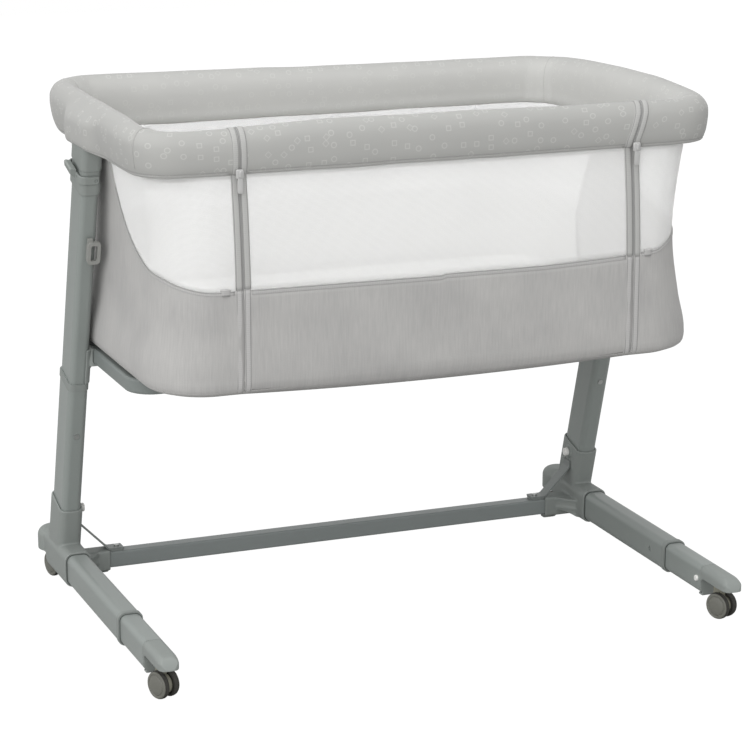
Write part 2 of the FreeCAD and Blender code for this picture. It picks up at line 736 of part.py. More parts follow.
def inner_post(side):
    """Inner tube of the telescope, with the moulded plug at its foot that guides the lock pin."""
    tube = post_prism(inner_width, inner_depth, inner_post_bottom_z, inner_post_top_z, side)
    bore = post_prism(inner_width - 2 * inner_post_wall, inner_depth - 2 * inner_post_wall,
                      inner_post_bottom_z - 5, inner_post_top_z + 5, side)
    low = post_s(inner_post_bottom_z)
    pin_hole = rod(lock_pin_radius + button_gap, V(0, 0, 0), V(0, inner_depth, 0))
    pin_hole.translate(V(0, 0, low + lock_pin_above_foot))
    tube = tube.cut(bore).cut(on_post(pin_hole.copy(), side))
    plug = oval_prism(inner_width - 2 * inner_post_wall - 2 * fit_gap,
                      inner_depth - 2 * inner_post_wall - 2 * fit_gap, low, low + post_plug_height)
    plug = plug.cut(pin_hole)
    return tube, on_post(plug, side)


def lock_pin(side):
    """Sprung pin across the foot of the inner post; its nose bears on the outer post's rear wall."""
    nose = inner_depth / 2
    s = post_s(inner_post_bottom_z) + lock_pin_above_foot
    pin = rod(lock_pin_radius, V(0, nose - lock_pin_length, s), V(0, nose, s))
    tip = [e for e in pin.Edges if e.BoundBox.YLength < 0.01 and e.BoundBox.YMax > nose - 0.1]
    return on_post(pin.makeChamfer(lock_pin_chamfer, tip), side)


# ---------------------------------------------------------------- hub and lever
def hub(side):
    """Moulded hub on the inner post: lower sleeve, recessed lever band, cap and rail saddle."""
    w = inner_width + 2 * fit_gap + 2 * hub_rim
    d = inner_depth + 2 * fit_gap + 2 * hub_rim
    band_low = lever_bottom_z - 1
    band_high = band_low + hub_band_height
    sleeve = post_prism(w, d, hub_bottom_z, band_low, side)
    band_grow = 2 * fit_gap + 2 * hub_band_wall
    band = post_prism(inner_width + band_grow, inner_depth + band_grow, band_low, band_high, side)
    cap = post_prism(w, d, band_high, rail_tube_z, side)
    over = box(-beyond, beyond, -beyond, beyond, hub_top_z, beyond)
    body = sleeve.fuse(band).fuse(cap.cut(over))
    bore = post_prism(inner_width + 2 * fit_gap, inner_depth + 2 * fit_gap, hub_bottom_z - 5,
                      inner_post_top_z + 0.5, side)
    body = body.cut(bore)
    saddle_x = rail_tube_x + saddle_out
    y = post_y(rail_tube_z) + saddle_back
    saddle = box(side * (saddle_x - saddle_width / 2), side * (saddle_x + saddle_width / 2),
                 y - saddle_length / 2, y + saddle_length / 2, hub_top_z - 6, rail_tube_z + 2)
    saddle = saddle.makeFillet(saddle_round, [e for e in saddle.Edges if e.BoundBox.ZLength > 5])
    seat = rod(rail_tube_radius + fit_gap, V(side * rail_tube_x, y - 60, rail_tube_z),
               V(side * rail_tube_x, y + 60, rail_tube_z))
    body = body.fuse(saddle.cut(bore)).cut(seat)
    # pivot pins of the lever, on the front and rear of the band
    s = post_s(lever_bottom_z) + lever_height / 2
    reach = inner_depth / 2 + lever_gap + lever_wall
    pin = rod(lever_pivot_radius, V(0, -reach, 0), V(0, reach, 0))
    pin.translate(V(-side * lever_pivot_in, 0, s))
    pin = on_post(pin, side).cut(post_prism(inner_width + 1, inner_depth + 1, hub_bottom_z, hub_top_z, side))
    return body.fuse(pin)


def lever(side):
    """Height lever: an open ring round the hub that pivots on it, with a finger wing outside."""
    w = inner_width + 2 * lever_gap
    d = inner_depth + 2 * lever_gap
    low = post_s(lever_bottom_z)
    high = low + lever_height
    ring = oval_prism(w + 2 * lever_wall, d + 2 * lever_wall, low, high)
    ring = ring.cut(oval_prism(w, d, low - 1, high + 1))
    inner_cut = box(-side * (lever_pivot_in + 4), -side * w, -d, d, low - 1, high + 1)
    ring = ring.cut(inner_cut)
    x0 = w / 2 + lever_wall - 1
    tip = lever_wing_out
    outline = [V(x0, 0, low + 1), V(tip - 1, 0, high - 2), V(tip, 0, high + lever_wing_rise - 2),
               V(tip - 2, 0, high + lever_wing_rise), V(x0 + 1, 0, high + lever_wing_rise - 2),
               V(x0, 0, high)]
    wing = Part.Face(Part.makePolygon(outline + [outline[0]])).extrude(V(0, lever_wing_width, 0))
    wing.translate(V(0, -lever_wing_width / 2, 0))
    if side < 0:
        wing = wing.mirror(V(0, 0, 0), V(1, 0, 0))
    pivot = rod(lever_pivot_radius + running_gap, V(-side * lever_pivot_in, -d, low + lever_height / 2),
                V(-side * lever_pivot_in, d, low + lever_height / 2))
    return on_post(ring.fuse(wing).cut(pivot), side)


# ---------------------------------------------------------------- bassinet frame
def ring_sweep(section, half_x, half_y, radius):
    """Sweeps a section, drawn as (outward, up), round a rounded rectangle about the bed's middle."""
    cx = half_x - radius
    cy = half_y - radius
    front = section.copy()
    front.rotate(V(0, 0, 0), V(0, 0, 1), -90)
    pieces = []
    for sy in (-1, 1):
        straight = front.copy()
        if sy > 0:
            straight.rotate(V(0, 0, 0), V(0, 0, 1), 180)
        straight.translate(V(-cx, sy * half_y + bed_y, 0))
        pieces.append(straight.extrude(V(2 * cx, 0, 0)))
    for sx in (-1, 1):
        straight = section.copy()
        if sx < 0:
            straight.rotate(V(0, 0, 0), V(0, 0, 1), 180)
        straight.translate(V(sx * half_x, -cy + bed_y, 0))
        pieces.append(straight.extrude(V(0, 2 * cy, 0)))
    for sx, sy, turn in ((1, 1, 0), (-1, 1, 90), (-1, -1, 180), (1, -1, 270)):
        corner = section.copy()
        corner.translate(V(radius, 0, 0))
        corner = corner.revolve(V(0, 0, 0), V(0, 0, 1), 90)
        corner.rotate(V(0, 0, 0), V(0, 0, 1), turn)
        corner.translate(V(sx * cx, sy * cy + bed_y, 0))
        pieces.append(corner)
    ring = pieces[0]
    for piece in pieces[1:]:
        ring = ring.fuse(piece)
    return ring.removeSplitter()


def circle_section(radius, z):
    circle = Part.makeCircle(radius, V(0, 0, z), V(0, 1, 0))
    return Part.Face(Part.Wire([circle]))


def cover_section():
    """Padded sleeve round the rail, drawn as (outward, up): round crown, deeper on the inside."""
    t = rail_thickness
    low = rail_bottom_z
    top = rail_top_z
    inner_low = low - rail_inner_drop
    crown = rail_crown
    edges = [
        Part.makeLine(V(-1.5, 0, low), V(0, 0, low + 4)),
        Part.makeLine(V(0, 0, low + 4), V(0, 0, top - crown)),
        Part.Arc(V(0, 0, top - crown), V(-crown * 0.3, 0, top - crown * 0.3), V(-crown, 0, top)).toShape(),
        Part.makeLine(V(-crown, 0, top), V(-t + crown, 0, top)),
        Part.Arc(V(-t + crown, 0, top), V(-t + crown * 0.3, 0, top - crown * 0.3),
                 V(-t, 0, top - crown)).toShape(),
        Part.makeLine(V(-t, 0, top - crown), V(-t + 2, 0, inner_low)),
        Part.makeLine(V(-t + 2, 0, inner_low), V(-t + 6, 0, inner_low)),
        Part.makeLine(V(-t + 6, 0, inner_low), V(-t + 9, 0, low)),
        Part.makeLine(V(-t + 9, 0, low), V(-1.5, 0, low)),
    ]
    return Part.Face(Part.Wire(edges))


def drop_zone(gap):
    """Space between the two zips, in front of the bed's middle."""
    return box(-zip_x + gap, zip_x - gap, -beyond, bed_y, 0, beyond)


def rail_tubes():
    half_x = rail_length / 2 - rail_thickness / 2
    half_y = rail_width / 2 - rail_thickness / 2
    radius = rail_corner - rail_thickness / 2
    solid = ring_sweep(circle_section(rail_tube_radius, rail_tube_z), half_x, half_y, radius)
    bore = ring_sweep(circle_section(rail_tube_radius - rail_tube_wall, rail_tube_z), half_x, half_y, radius)
    ring = solid.cut(bore)
    fixed = biggest(ring.cut(drop_zone(-zip_gap / 2 - 1)))
    front = biggest(ring.common(drop_zone(zip_gap / 2 + 1)))
    y = bed_y - half_y
    plugs = []
    for side in (-1, 1):
        end = side * (zip_x - zip_gap / 2 - 1)
        plug = rod(rail_tube_radius - rail_tube_wall, V(end - side * 14, y, rail_tube_z),
                   V(end, y, rail_tube_z))
        head = rod(rail_tube_radius, V(end, y, rail_tube_z), V(end + side * 0.9, y, rail_tube_z))
        plugs.append(plug.fuse(head))
    for plug in plugs:
        front = front.fuse(plug)
    return fixed, front


def rail_covers():
    ring = ring_sweep(cover_section(), rail_length / 2, rail_width / 2, rail_corner)
    half_x = rail_length / 2 - rail_thickness / 2
    half_y = rail_width / 2 - rail_thickness / 2
    bore = ring_sweep(circle_section(rail_tube_radius + fit_gap, rail_tube_z), half_x, half_y,
                      rail_corner - rail_thickness / 2)
    ring = ring.cut(bore)
    fixed = ring.cut(drop_zone(-zip_gap / 2))
    for side in (-1, 1):
        fixed = fixed.cut(hub_clearance(side))
    front = ring.common(drop_zone(zip_gap / 2))
    return biggest(fixed), biggest(front)


def hub_clearance(side):
    """Room in the cover for the hub's cap and saddle."""
    grow = 2 * hub_fit
    w = inner_width + 2 * fit_gap + 2 * hub_rim + grow
    d = inner_depth + 2 * fit_gap + 2 * hub_rim + grow
    cap = post_prism(w, d, hub_bottom_z, rail_tube_z, side)
    over = box(-beyond, beyond, -beyond, beyond, hub_top_z + rest_gap + 1, beyond)
    cap = cap.cut(over)
    saddle_x = rail_tube_x + saddle_out
    y = post_y(rail_tube_z) + saddle_back
    half = saddle_width / 2 + hub_fit
    saddle = box(side * (saddle_x - half), side * (saddle_x + half), y - saddle_length / 2 - hub_fit,
                 y + saddle_length / 2 + hub_fit, rail_bottom_z - 20, rail_tube_z + 3)
    return cap.fuse(saddle)


def under_frame_tube(y_end, y_start):
    """Flat-oval tube: along one end of the bed, across below the floor, and back along the other."""
    r = under_frame_bend
    step = 1 if y_start > y_end else -1
    cx = under_frame_x - r
    cy = y_end + step * r

    def piece(width, height):
        face = flat_oval(height, width) if width > height else flat_oval(width, height)
        face.rotate(V(0, 0, 0), V(1, 0, 0), 90)
        solids = []
        for side in (-1, 1):
            run = face.copy()
            run.translate(V(side * under_frame_x, cy, under_frame_z))
            solids.append(run.extrude(V(0, y_start - cy, 0)))
            bend = face.copy()
            bend.translate(V(side * r, 0, 0))
            bend = bend.revolve(V(0, 0, 0), V(0, 0, 1), -side * step * 90)
            bend.translate(V(side * cx, cy, under_frame_z))
            solids.append(bend)
        cross = face.copy()
        cross.rotate(V(0, 0, 0), V(0, 0, 1), 90)
        cross.translate(V(-cx, y_end, under_frame_z))
        solids.append(cross.extrude(V(2 * cx, 0, 0)))
        whole = solids[0]
        for s in solids[1:]:
            whole = whole.fuse(s)
        return whole
    w = under_frame_wall
    outer = piece(under_frame_width, under_frame_height)
    inner = piece(under_frame_width - 2 * w, under_frame_height - 2 * w)
    return outer.cut(inner)


def arm_bracket(side):
    """Channel on the inner post's inner face, just above the collar, with a block for the under-frame."""
    low = post_top_z + collar_lid + rest_gap
    w = inner_width + 2 * fit_gap
    d = inner_depth + 2 * fit_gap
    reach = leg_x - w / 2 + arm_wrap
    channel = post_prism(w + 2 * arm_rim, d + 2 * arm_rim, low, arm_top_z, side)
    channel = channel.common(box(0, side * reach, -beyond, beyond, 0, beyond))
    y = post_y(under_frame_z)
    half = d / 2 + arm_rim
    block_low = under_frame_z - under_frame_height / 2 - arm_rim
    block = box(side * arm_block_inner_x, side * (leg_x - w / 2), y - half, y + half, block_low,
                shell_bottom_z - rest_gap)
    block = block.makeFillet(arm_rim, [e for e in block.Edges if e.BoundBox.ZLength > under_frame_height])
    # curved rib that carries the block down on to the channel
    inner = arm_block_inner_x + arm_rim
    face = leg_x - w / 2 - arm_rim / 2
    corner = V(side * inner, 0, block_low)
    foot = V(side * face, 0, block_low - arm_rib_drop)
    middle = V(side * (face - (face - inner) * 0.42), 0, block_low - arm_rib_drop * 0.27)
    top = V(side * face, 0, block_low)
    rib = Part.Face(Part.Wire([Part.Arc(corner, middle, foot).toShape(), Part.makeLine(foot, top),
                               Part.makeLine(top, corner)])).extrude(V(0, arm_rib_width, 0))
    rib.translate(V(0, post_y(block_low) - arm_rib_width / 2, 0))
    body = channel.fuse(block).fuse(rib)
    body = body.cut(post_prism(w, d, post_bottom_z, rail_tube_z, side))
    socket = flat_oval(under_frame_width + 2 * fit_gap, under_frame_height + 2 * fit_gap)
    socket.rotate(V(0, 0, 0), V(1, 0, 0), 90)
    socket.translate(V(side * under_frame_x, y - half - 1, under_frame_z))
    return body.cut(socket.extrude(V(0, 2 * half + 2, 0)))


def under_frame():
    y = post_y(under_frame_z)
    front = under_frame_tube(under_frame_front_y, y - 3)
    rear = under_frame_tube(under_frame_rear_y, y + 3)
    return front, rear


# ---------------------------------------------------------------- fabric walls
def wall_body(inset):
    wires = []
    for share, in_x, in_y in wall_levels:
        wires.append(rounded_rectangle(shell_length / 2 - in_x - inset, shell_width / 2 - in_y - inset,
                                       wall_corner - inset, shell_bottom_z + share * wall_height))
    return Part.makeLoft(wires, True, True)


def mesh_zone():
    """Everything above the seam at the front: straight between the zips, curved up at the ends."""
    mesh_height = wall_height * (1 - mesh_share)
    curve = [V(0, y, mesh_bottom_z + share * mesh_height) for y, share in seam_points]
    seam = Part.BSplineCurve()
    seam.interpolate(curve)
    first = curve[0]
    last = curve[-1]
    front = V(0, -beyond, last.z)
    edges = [seam.toShape(), Part.makeLine(last, front), Part.makeLine(front, V(0, -beyond, beyond)),
             Part.makeLine(V(0, -beyond, beyond), V(0, first.y, beyond)),
             Part.makeLine(V(0, first.y, beyond), first)]
    zone = Part.Face(Part.Wire(edges)).extrude(V(2 * beyond, 0, 0))
    zone.translate(V(-beyond, 0, 0))
    rear = box(-beyond, beyond, rear_seam_y, beyond, mesh_bottom_z, beyond)
    return zone, rear


def between(shape, x0, x1, half=0):
    """The part of a wall between two places along X; half -1 takes its front half, 1 its rear half."""
    y0 = bed_y if half > 0 else -beyond
    y1 = bed_y if half < 0 else beyond
    return shape.common(box(x0, x1, y0, y1, 0, beyond))


def fabric_walls():
    """Cuts one wall, drawn all round the bed, into its mesh and fabric panels and the zip tapes."""
    wall = wall_body(0).cut(wall_body(wall_thickness))
    front_zone, rear_zone = mesh_zone()
    front_mesh_wall = wall.common(front_zone)
    rear_mesh_wall = wall.common(rear_zone)
    fabric = wall.cut(front_zone).cut(rear_zone)
    seam = panel_seam_x
    gap = zip_gap / 2
    tape = zip_x + gap + zip_tape_width
    moving = zip_x - gap
    inner = moving - zip_tape_width
    keep("front_panel", between(fabric, -seam, seam, -1))
    keep("rear_panel", between(fabric, -seam, seam, 1))
    lift = box(-beyond, beyond, -beyond, bed_y, mesh_bottom_z + zip_gap, beyond)
    panel = front_mesh_wall.common(lift)
    corners = []
    moving_tapes = []
    fixed_tapes = []
    for name, side in sides:
        keep("end_panel_" + name, between(fabric, side * seam, side * beyond))
        corners.append(between(front_mesh_wall, side * tape, side * beyond, -1))
        corners.append(between(rear_mesh_wall, side * seam, side * beyond, 1))
        moving_tapes.append(between(panel, side * inner, side * moving))
        fixed_tapes.append(between(front_mesh_wall, side * (zip_x + gap), side * tape, -1))
    keep("corner_mesh", *corners)
    keep("rear_mesh", between(rear_mesh_wall, -seam, seam, 1))
    keep("front_mesh", between(panel, -inner, inner))
    keep("drop_zip_tapes", *moving_tapes)
    keep("zip_tapes", *fixed_tapes, webbing_tab(-1), webbing_tab(1))


def bed_pieces():
    share, in_x, in_y = wall_levels[0]
    z = shell_bottom_z + share * wall_height
    half_x = shell_length / 2 - in_x
    half_y = shell_width / 2 - in_y
    inset = wall_thickness + fit_gap
    corner = wall_corner - inset
    floor = slab(half_x - inset, half_y - inset, corner, z, z + floor_thickness)
    keep("floor_fabric", floor)
    board_z = z + floor_thickness + rest_gap
    inset += board_margin
    corner = wall_corner - inset
    keep("base_board", slab(half_x - inset, half_y - inset, corner, board_z, board_z + board_thickness))
    low = board_z + board_thickness + rest_gap
    high = low + mattress_thickness
    inset = mattress_margin
    r = wall_corner - inset
    levels = [(low, 3.0), (low + mattress_thickness * 0.35, 0.0), (high - 7, 0.5), (high - 1.5, 5.0),
              (high + mattress_crown * 0.6, 60.0)]
    wires = [rounded_rectangle(half_x - inset - d, half_y - inset - d, max(r - d, 30.0), zz)
             for zz, d in levels]
    keep("mattress", Part.makeLoft(wires, True, True))


# ---------------------------------------------------------------- zip hardware and loops
def slider_place():
    """Middle of the zip slider along X, its rear face, its lower face, and its pull's pin in Y and Z."""
    middle = zip_x + zip_gap / 2 + rest_gap + slider_width / 2
    rear = bed_y - rail_width / 2 - rest_gap
    low = rail_bottom_z + slider_above_hem - slider_height
    return middle, rear, low, rear - slider_thickness / 2 - 0.5, low - pull_pin_drop


def slider(side):
    """Zip slider on the fixed half of the zip, against the rail's lower edge."""
    middle, rear, low, pin_y, pin_z = slider_place()
    front = rear - slider_thickness
    body = box(side * (middle - slider_width / 2), side * (middle + slider_width / 2), front, rear,
               low, low + slider_height)
    outer = [e for e in body.Edges if e.BoundBox.YMax < front + 0.1]
    body = body.makeFillet(pull_pin_radius + 0.4, outer)
    # two ears carry the pull's pin below the body
    half = pull_width / 2 + 0.4
    for s in (-1, 1):
        ear = box(side * (middle + s * half), side * (middle + s * (half + ear_thickness)),
                  front, rear - pull_pin_radius, pin_z - ear_thickness, low + ear_thickness)
        body = body.fuse(ear)
    reach = half + ear_thickness / 2
    pin_end = V(side * (middle + reach), pin_y, pin_z)
    return body.fuse(rod(pull_pin_radius, V(side * (middle - reach), pin_y, pin_z), pin_end))


def pull(side):
    """Flat pull tab that swings on the slider's pin."""
    middle, rear, low, y, z = slider_place()
    half = pull_width / 2
    x0 = side * (middle - half)
    x1 = side * (middle + half)
    eye = rod(pull_pin_radius + pull_eye_wall, V(x0, y, z), V(x1, y, z))
    tab = box(x0, x1, y - pull_thickness / 2, y + pull_thickness / 2, z - pull_length, z)
    lower = [e for e in tab.Edges if e.BoundBox.YLength > 1 and e.BoundBox.ZMax < z - pull_length + 0.1]
    tab = tab.makeFillet(pull_width * 0.37, lower)
    return eye.fuse(tab).cut(rod(pull_pin_radius + running_gap, V(x0, y, z), V(x1, y, z)))


def strap_loop(side):
    """Moulded frame on the inner post's front face, through which the bed strap is threaded."""
    outer = side * loop_past_axis
    inner = outer - side * loop_width
    foot = -inner_depth / 2 - fit_gap
    rear = foot - loop_standoff
    middle = post_s(loop_z)
    low = middle - loop_height / 2
    high = low + loop_height
    frame = box(outer, inner, rear - loop_depth, rear, low, high)
    frame = frame.makeFillet(loop_corner, [e for e in frame.Edges if e.BoundBox.YLength > loop_corner])
    edge = (loop_width - loop_slot_width) / 2
    pad = box(outer, outer - side * (edge - 0.5), rear - 1, foot, low + loop_corner, high - loop_corner)
    tab = box(outer, outer - side * loop_tab_width, rear - loop_depth / 2, rear, high - loop_corner,
              high + loop_tab_height)
    slot = box(outer - side * edge, inner + side * edge, rear - loop_depth - 1, rear + 1,
               middle - loop_slot_height / 2, middle + loop_slot_height / 2)
    slot = slot.makeFillet(edge / 2, [e for e in slot.Edges if e.BoundBox.YLength > loop_corner])
    return on_post(frame.fuse(tab).cut(slot).fuse(pad), side)


def webbing_tab(side):
    """Short folded webbing loop sewn over the seam outside each zip."""
    x0 = zip_x + zip_gap / 2 + slider_width + 1.5
    y = bed_y - shell_width / 2 - rest_gap
    return box(side * x0, side * (x0 + tab_width), y - tab_thickness, y,
               mesh_bottom_z - tab_height + 3, mesh_bottom_z + 3)


# ---------------------------------------------------------------- assembly
def build():
    keep("crossbar", crossbar())
    keep("fasteners", *fasteners())
    keep("foot_guides", foot_guide(-1), foot_guide(1))
    keep("post_collars", post_collar(-1), post_collar(1))
    for name, side in sides:
        keep("bracket_" + name, bracket(side))
        keep("foot_tube_" + name, outer_foot(side))
        keep("outer_post_" + name, outer_post(side))
        keep("brace_" + name, brace(side))
        keep("release_button_" + name, release_button(side))
        keep("foot_extension_" + name, extension(side))
        keep("end_cap_" + name, end_cap(side))
        keep("snap_button_" + name, snap_button(side))
        for place, y, seat_z, swivel in (("front", front_caster_y, cap_arch_z, front_swivel),
                                         ("rear", rear_caster_y, boss_bottom_z, rear_swivel)):
            keep("caster_fork_" + place + "_" + name, caster_place(caster_fork(seat_z), side, y, swivel))
            keep("caster_wheels_" + place + "_" + name, caster_place(wheel_pair(), side, y, swivel))
        keep("inner_post_" + name, *inner_post(side))
        keep("lock_pin_" + name, lock_pin(side))
        keep("hub_" + name, hub(side))
        keep("height_lever_" + name, lever(side))
        keep("arm_bracket_" + name, arm_bracket(side))
        keep("zip_slider_" + name, slider(side))
        keep("zip_pull_" + name, pull(side))
    keep("under_frame", *under_frame())
    fixed, front = rail_tubes()
    keep("rail_tube", fixed)
    keep("front_rail_tube", front)
    fixed_cover, front_cover = rail_covers()
    keep("rail_cover", fixed_cover)
    keep("front_rail_cover", front_cover)
    fabric_walls()
    bed_pieces()
    keep("strap_loops", strap_loop(-1), strap_loop(1))


def write():
    os.makedirs("parts", exist_ok=True)
    whole = None
    for name, shape in parts.items():
        valid = shape.isValid()
        print(name, "solids", len(shape.Solids), "valid", valid, "volume", round(shape.Volume))
        shape.exportStep("parts/" + name + ".step")
        bounds = shape.BoundBox
        whole = bounds if whole is None else whole.united(bounds)
    print("nodes", len(parts))
    print("x", round(whole.XMin, 2), round(whole.XMax, 2), "y", round(whole.YMin, 2), round(whole.YMax, 2),
          "z", round(whole.ZMin, 2), round(whole.ZMax, 2))


build()
write()
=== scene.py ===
import bpy
import bmesh
import json
import math
import numpy as np
from mathutils import Matrix, Vector
from mathutils.geometry import convex_hull_2d


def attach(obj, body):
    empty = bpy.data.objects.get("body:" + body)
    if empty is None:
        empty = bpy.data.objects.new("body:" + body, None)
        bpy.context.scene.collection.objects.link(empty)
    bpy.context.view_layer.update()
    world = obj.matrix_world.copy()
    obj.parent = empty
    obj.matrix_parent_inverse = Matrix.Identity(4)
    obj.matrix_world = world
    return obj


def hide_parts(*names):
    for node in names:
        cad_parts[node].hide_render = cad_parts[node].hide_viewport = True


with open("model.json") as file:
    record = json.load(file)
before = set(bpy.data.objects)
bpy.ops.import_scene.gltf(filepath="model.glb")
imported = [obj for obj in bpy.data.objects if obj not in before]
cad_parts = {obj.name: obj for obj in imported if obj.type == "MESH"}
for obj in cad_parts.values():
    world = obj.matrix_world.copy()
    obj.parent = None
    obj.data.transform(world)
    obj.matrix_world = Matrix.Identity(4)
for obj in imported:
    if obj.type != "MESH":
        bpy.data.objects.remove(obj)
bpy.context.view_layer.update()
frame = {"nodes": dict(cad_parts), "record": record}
print("frame loaded")

sideList = [("left", -1), ("right", 1)]

# where the photograph was taken from, metres and degrees
cameraSpot = {
    "place": (-1.37339, -3.41500, 1.30894),
    "turn": -21.732,
    "tilt": 14.728,
    "roll": 0.0878,
    "focalPixels": 2618.23,
    "imagePixels": 743,
    "sensor": 36.0,
}

studio = {
    "skyStrength": 0.69,
    "lamps": {"keyLamp": (76.0, (-2.4, -4.2, 2.4), 3.6), "topLamp": (74.0, (-0.6, -0.9, 4.6), 2.6),
              "sideLamp": (50.0, (-4.4, -1.0, 1.7), 5.0)},
    "floorWhite": "#B4B4B3",
    "floorLift": 0.86,       # share of plain white in what the camera sees of the floor
    "floorStrength": 1.15,   # of that white, so that the open floor meets the backdrop
    "floorSize": 14.0,
}


def linearColour(hexText):
    # each sRGB channel: c / 12.92 below 0.04045, otherwise ((c + 0.055) / 1.055) ^ 2.4
    channels = [int(hexText[i:i + 2], 16) / 255 for i in (1, 3, 5)]
    return tuple(c / 12.92 if c <= 0.04045 else ((c + 0.055) / 1.055) ** 2.4 for c in channels) + (1.0,)


def addNode(tree, kind, sockets=None, feeds=None, **settings):
    # one node with its settings and links: a socket takes a value, a colour as hex text, or the output socket
    # that feeds it, and the node's own output may feed a socket in turn
    node = tree.nodes.new("ShaderNode" + kind)
    for name, value in settings.items():
        setattr(node, name, value)
    for name, value in (sockets or {}).items():
        if isinstance(value, bpy.types.NodeSocket):
            tree.links.new(value, node.inputs[name])
        else:
            node.inputs[name].default_value = linearColour(value) if isinstance(value, str) else value
    if feeds is not None:
        tree.links.new(next(socket for socket in node.outputs if socket.enabled), feeds)
    return node


def newMaterial(name, shaderValues):
    material = bpy.data.materials.new(name)
    material.use_nodes = True
    tree = material.node_tree
    tree.nodes.clear()
    output = addNode(tree, "OutputMaterial")
    shader = addNode(tree, "BsdfPrincipled", shaderValues, output.inputs["Surface"])
    return material, tree, shader


def placeOnPiece(tree, useUv, scale=(1, 1, 1), turn=0.0):
    # object coordinates in metres, or the piece's own UV map, which is also in metres
    source = addNode(tree, "TexCoord")
    mapping = addNode(tree, "Mapping", {
        "Vector": source.outputs["UV" if useUv else "Object"], "Scale": scale,
        "Rotation": (0, 0, math.radians(turn))})
    return mapping.outputs["Vector"]


# hard materials: shader values; scale and detail of the patches that the two colours make; and the grain, as
# scale (1000 over its size in millimetres), detail, depth in millimetres and strength
hardKinds = {
    # powder-coated steel: baked polyester powder, satin, with a fine orange peel
    "powderCoated": {"Roughness": 0.36, "IOR": 1.5, "Coat Weight": 0.15, "Coat Roughness": 0.3,
                     "patches": (9.0, 3.0), "grain": (1000 / 1.6, 1.0, 0.035, 1.0)},
    # injection-moulded polypropylene: spark-eroded grain, a little softer in its shine than the tubes
    "moulded": {"Roughness": 0.5, "IOR": 1.49, "patches": (22.0, 2.0), "grain": (1000 / 1.1, 2.0, 0.05, 1.0)},
    # the same from a polished mould, without grain
    "polished": {"IOR": 1.49, "patches": (22.0, 2.0)},
    # zinc-plated steel: bright grey, brushed a little along its length
    "zincPlated": {"Metallic": 1.0, "Roughness": 0.3, "patches": (900.0, 2.0), "stretch": (1, 1, 0.06)},
    # soft polyurethane tread: dark, dull, with fine dust in its grain
    "polyurethane": {"Roughness": 0.7, "IOR": 1.5, "patches": (260.0, 4.0), "grain": (260.0, 4.0, 0.08, 0.6)},
}


def makeHard(name, kind, colour, patchColour, **changed):
    values = {**hardKinds[kind], **changed}
    patches, grain = values.pop("patches"), values.pop("grain", None)
    stretch = values.pop("stretch", (1, 1, 1))
    material, tree, shader = newMaterial(name, values)
    place = placeOnPiece(tree, False, stretch)
    cloud = addNode(tree, "TexNoise", {"Vector": place, "Scale": patches[0], "Detail": patches[1]})
    addNode(tree, "Mix", {0: cloud.outputs["Fac"], 6: colour, 7: patchColour}, shader.inputs["Base Color"],
            data_type="RGBA")
    if grain:
        scale, detail, depth, strength = grain
        spots = addNode(tree, "TexNoise", {"Vector": place, "Scale": scale, "Detail": detail})
        addNode(tree, "Bump", {"Height": spots.outputs["Fac"], "Distance": depth / 1000, "Strength": strength},
                shader.inputs["Normal"])
    return material


# woven polyester with two greys of yarn, slubs running up the cloth
heatherCloth = {
    "light": "#B8B7B5", "dark": "#A9A8A7", "threadPitch": 1.1, "threadDepth": 0.12,
    "slubWidth": 2.2, "slubLength": 38.0, "patchSize": 90.0,
}


def makeHeather(name, light, dark):
    material, tree, shader = newMaterial(name, {
        "Roughness": 0.92, "IOR": 1.45, "Specular IOR Level": 0.2, "Sheen Weight": 0.12, "Sheen Roughness": 0.5})
    slub = placeOnPiece(tree, True, (1000 / heatherCloth["slubWidth"], 1000 / heatherCloth["slubLength"], 1))
    slubNoise = addNode(tree, "TexNoise", {"Vector": slub, "Scale": 1.0, "Detail": 4.0, "Roughness": 0.65})
    patchNoise = addNode(tree, "TexNoise", {
        "Vector": placeOnPiece(tree, True), "Scale": 1000 / heatherCloth["patchSize"], "Detail": 3.0})
    both = addNode(tree, "Math", {0: slubNoise.outputs["Fac"], 1: patchNoise.outputs["Fac"]}, operation="ADD")
    spread = addNode(tree, "MapRange", {"Value": both.outputs[0], "From Min": 0.72, "From Max": 1.28})
    addNode(tree, "Mix", {0: spread.outputs[0], 6: dark, 7: light}, shader.inputs["Base Color"], data_type="RGBA")
    # product of two sine waves across and along the cloth: a plain weave, drawn a little coarser than real
    waves = [addNode(tree, "TexWave", {
        "Vector": placeOnPiece(tree, True), "Scale": 1000 / heatherCloth["threadPitch"] / 20 * math.pi,
        "Distortion": 0.6, "Detail": 1.0}, bands_direction=way) for way in "XY"]
    weave = addNode(tree, "Math", {k: wave.outputs["Fac"] for k, wave in enumerate(waves)}, operation="MULTIPLY")
    addNode(tree, "Bump", {
        "Height": weave.outputs[0], "Distance": heatherCloth["threadDepth"] / 1000, "Strength": 0.5},
        shader.inputs["Normal"])
    return material


# printed rail cloth: brushed knit with a scatter of small drawn outlines, a little paler than the ground
printedCloth = {
    "ground": "#AEAEAB", "groundPatch": "#A6A6A4", "paintedLightGround": "#C4C4C1", "paintedLightPatch": "#BDBDBB",
    # painted light: the inside of the rail gets a lighter copy of the ground colours; length walked round the
    # section, in metres, over which the outside turns into that lighter inside
    "paintedLightFrom": 0.070, "paintedLightTo": 0.105, "print": "#CDCECA", "repeat": 20.0, "shapeSize": 3.5,
    "lineWidth": 1.4, "scatter": 0.85, "ink": 0.36,
    # way of measuring that draws the shape, the share of the shapes it takes, and its size
    "shapes": [("EUCLIDEAN", -1.0, 0.42, 1.0), ("CHEBYCHEV", 0.42, 0.68, 0.88), ("MANHATTAN", 0.68, 0.84, 1.25)],
}


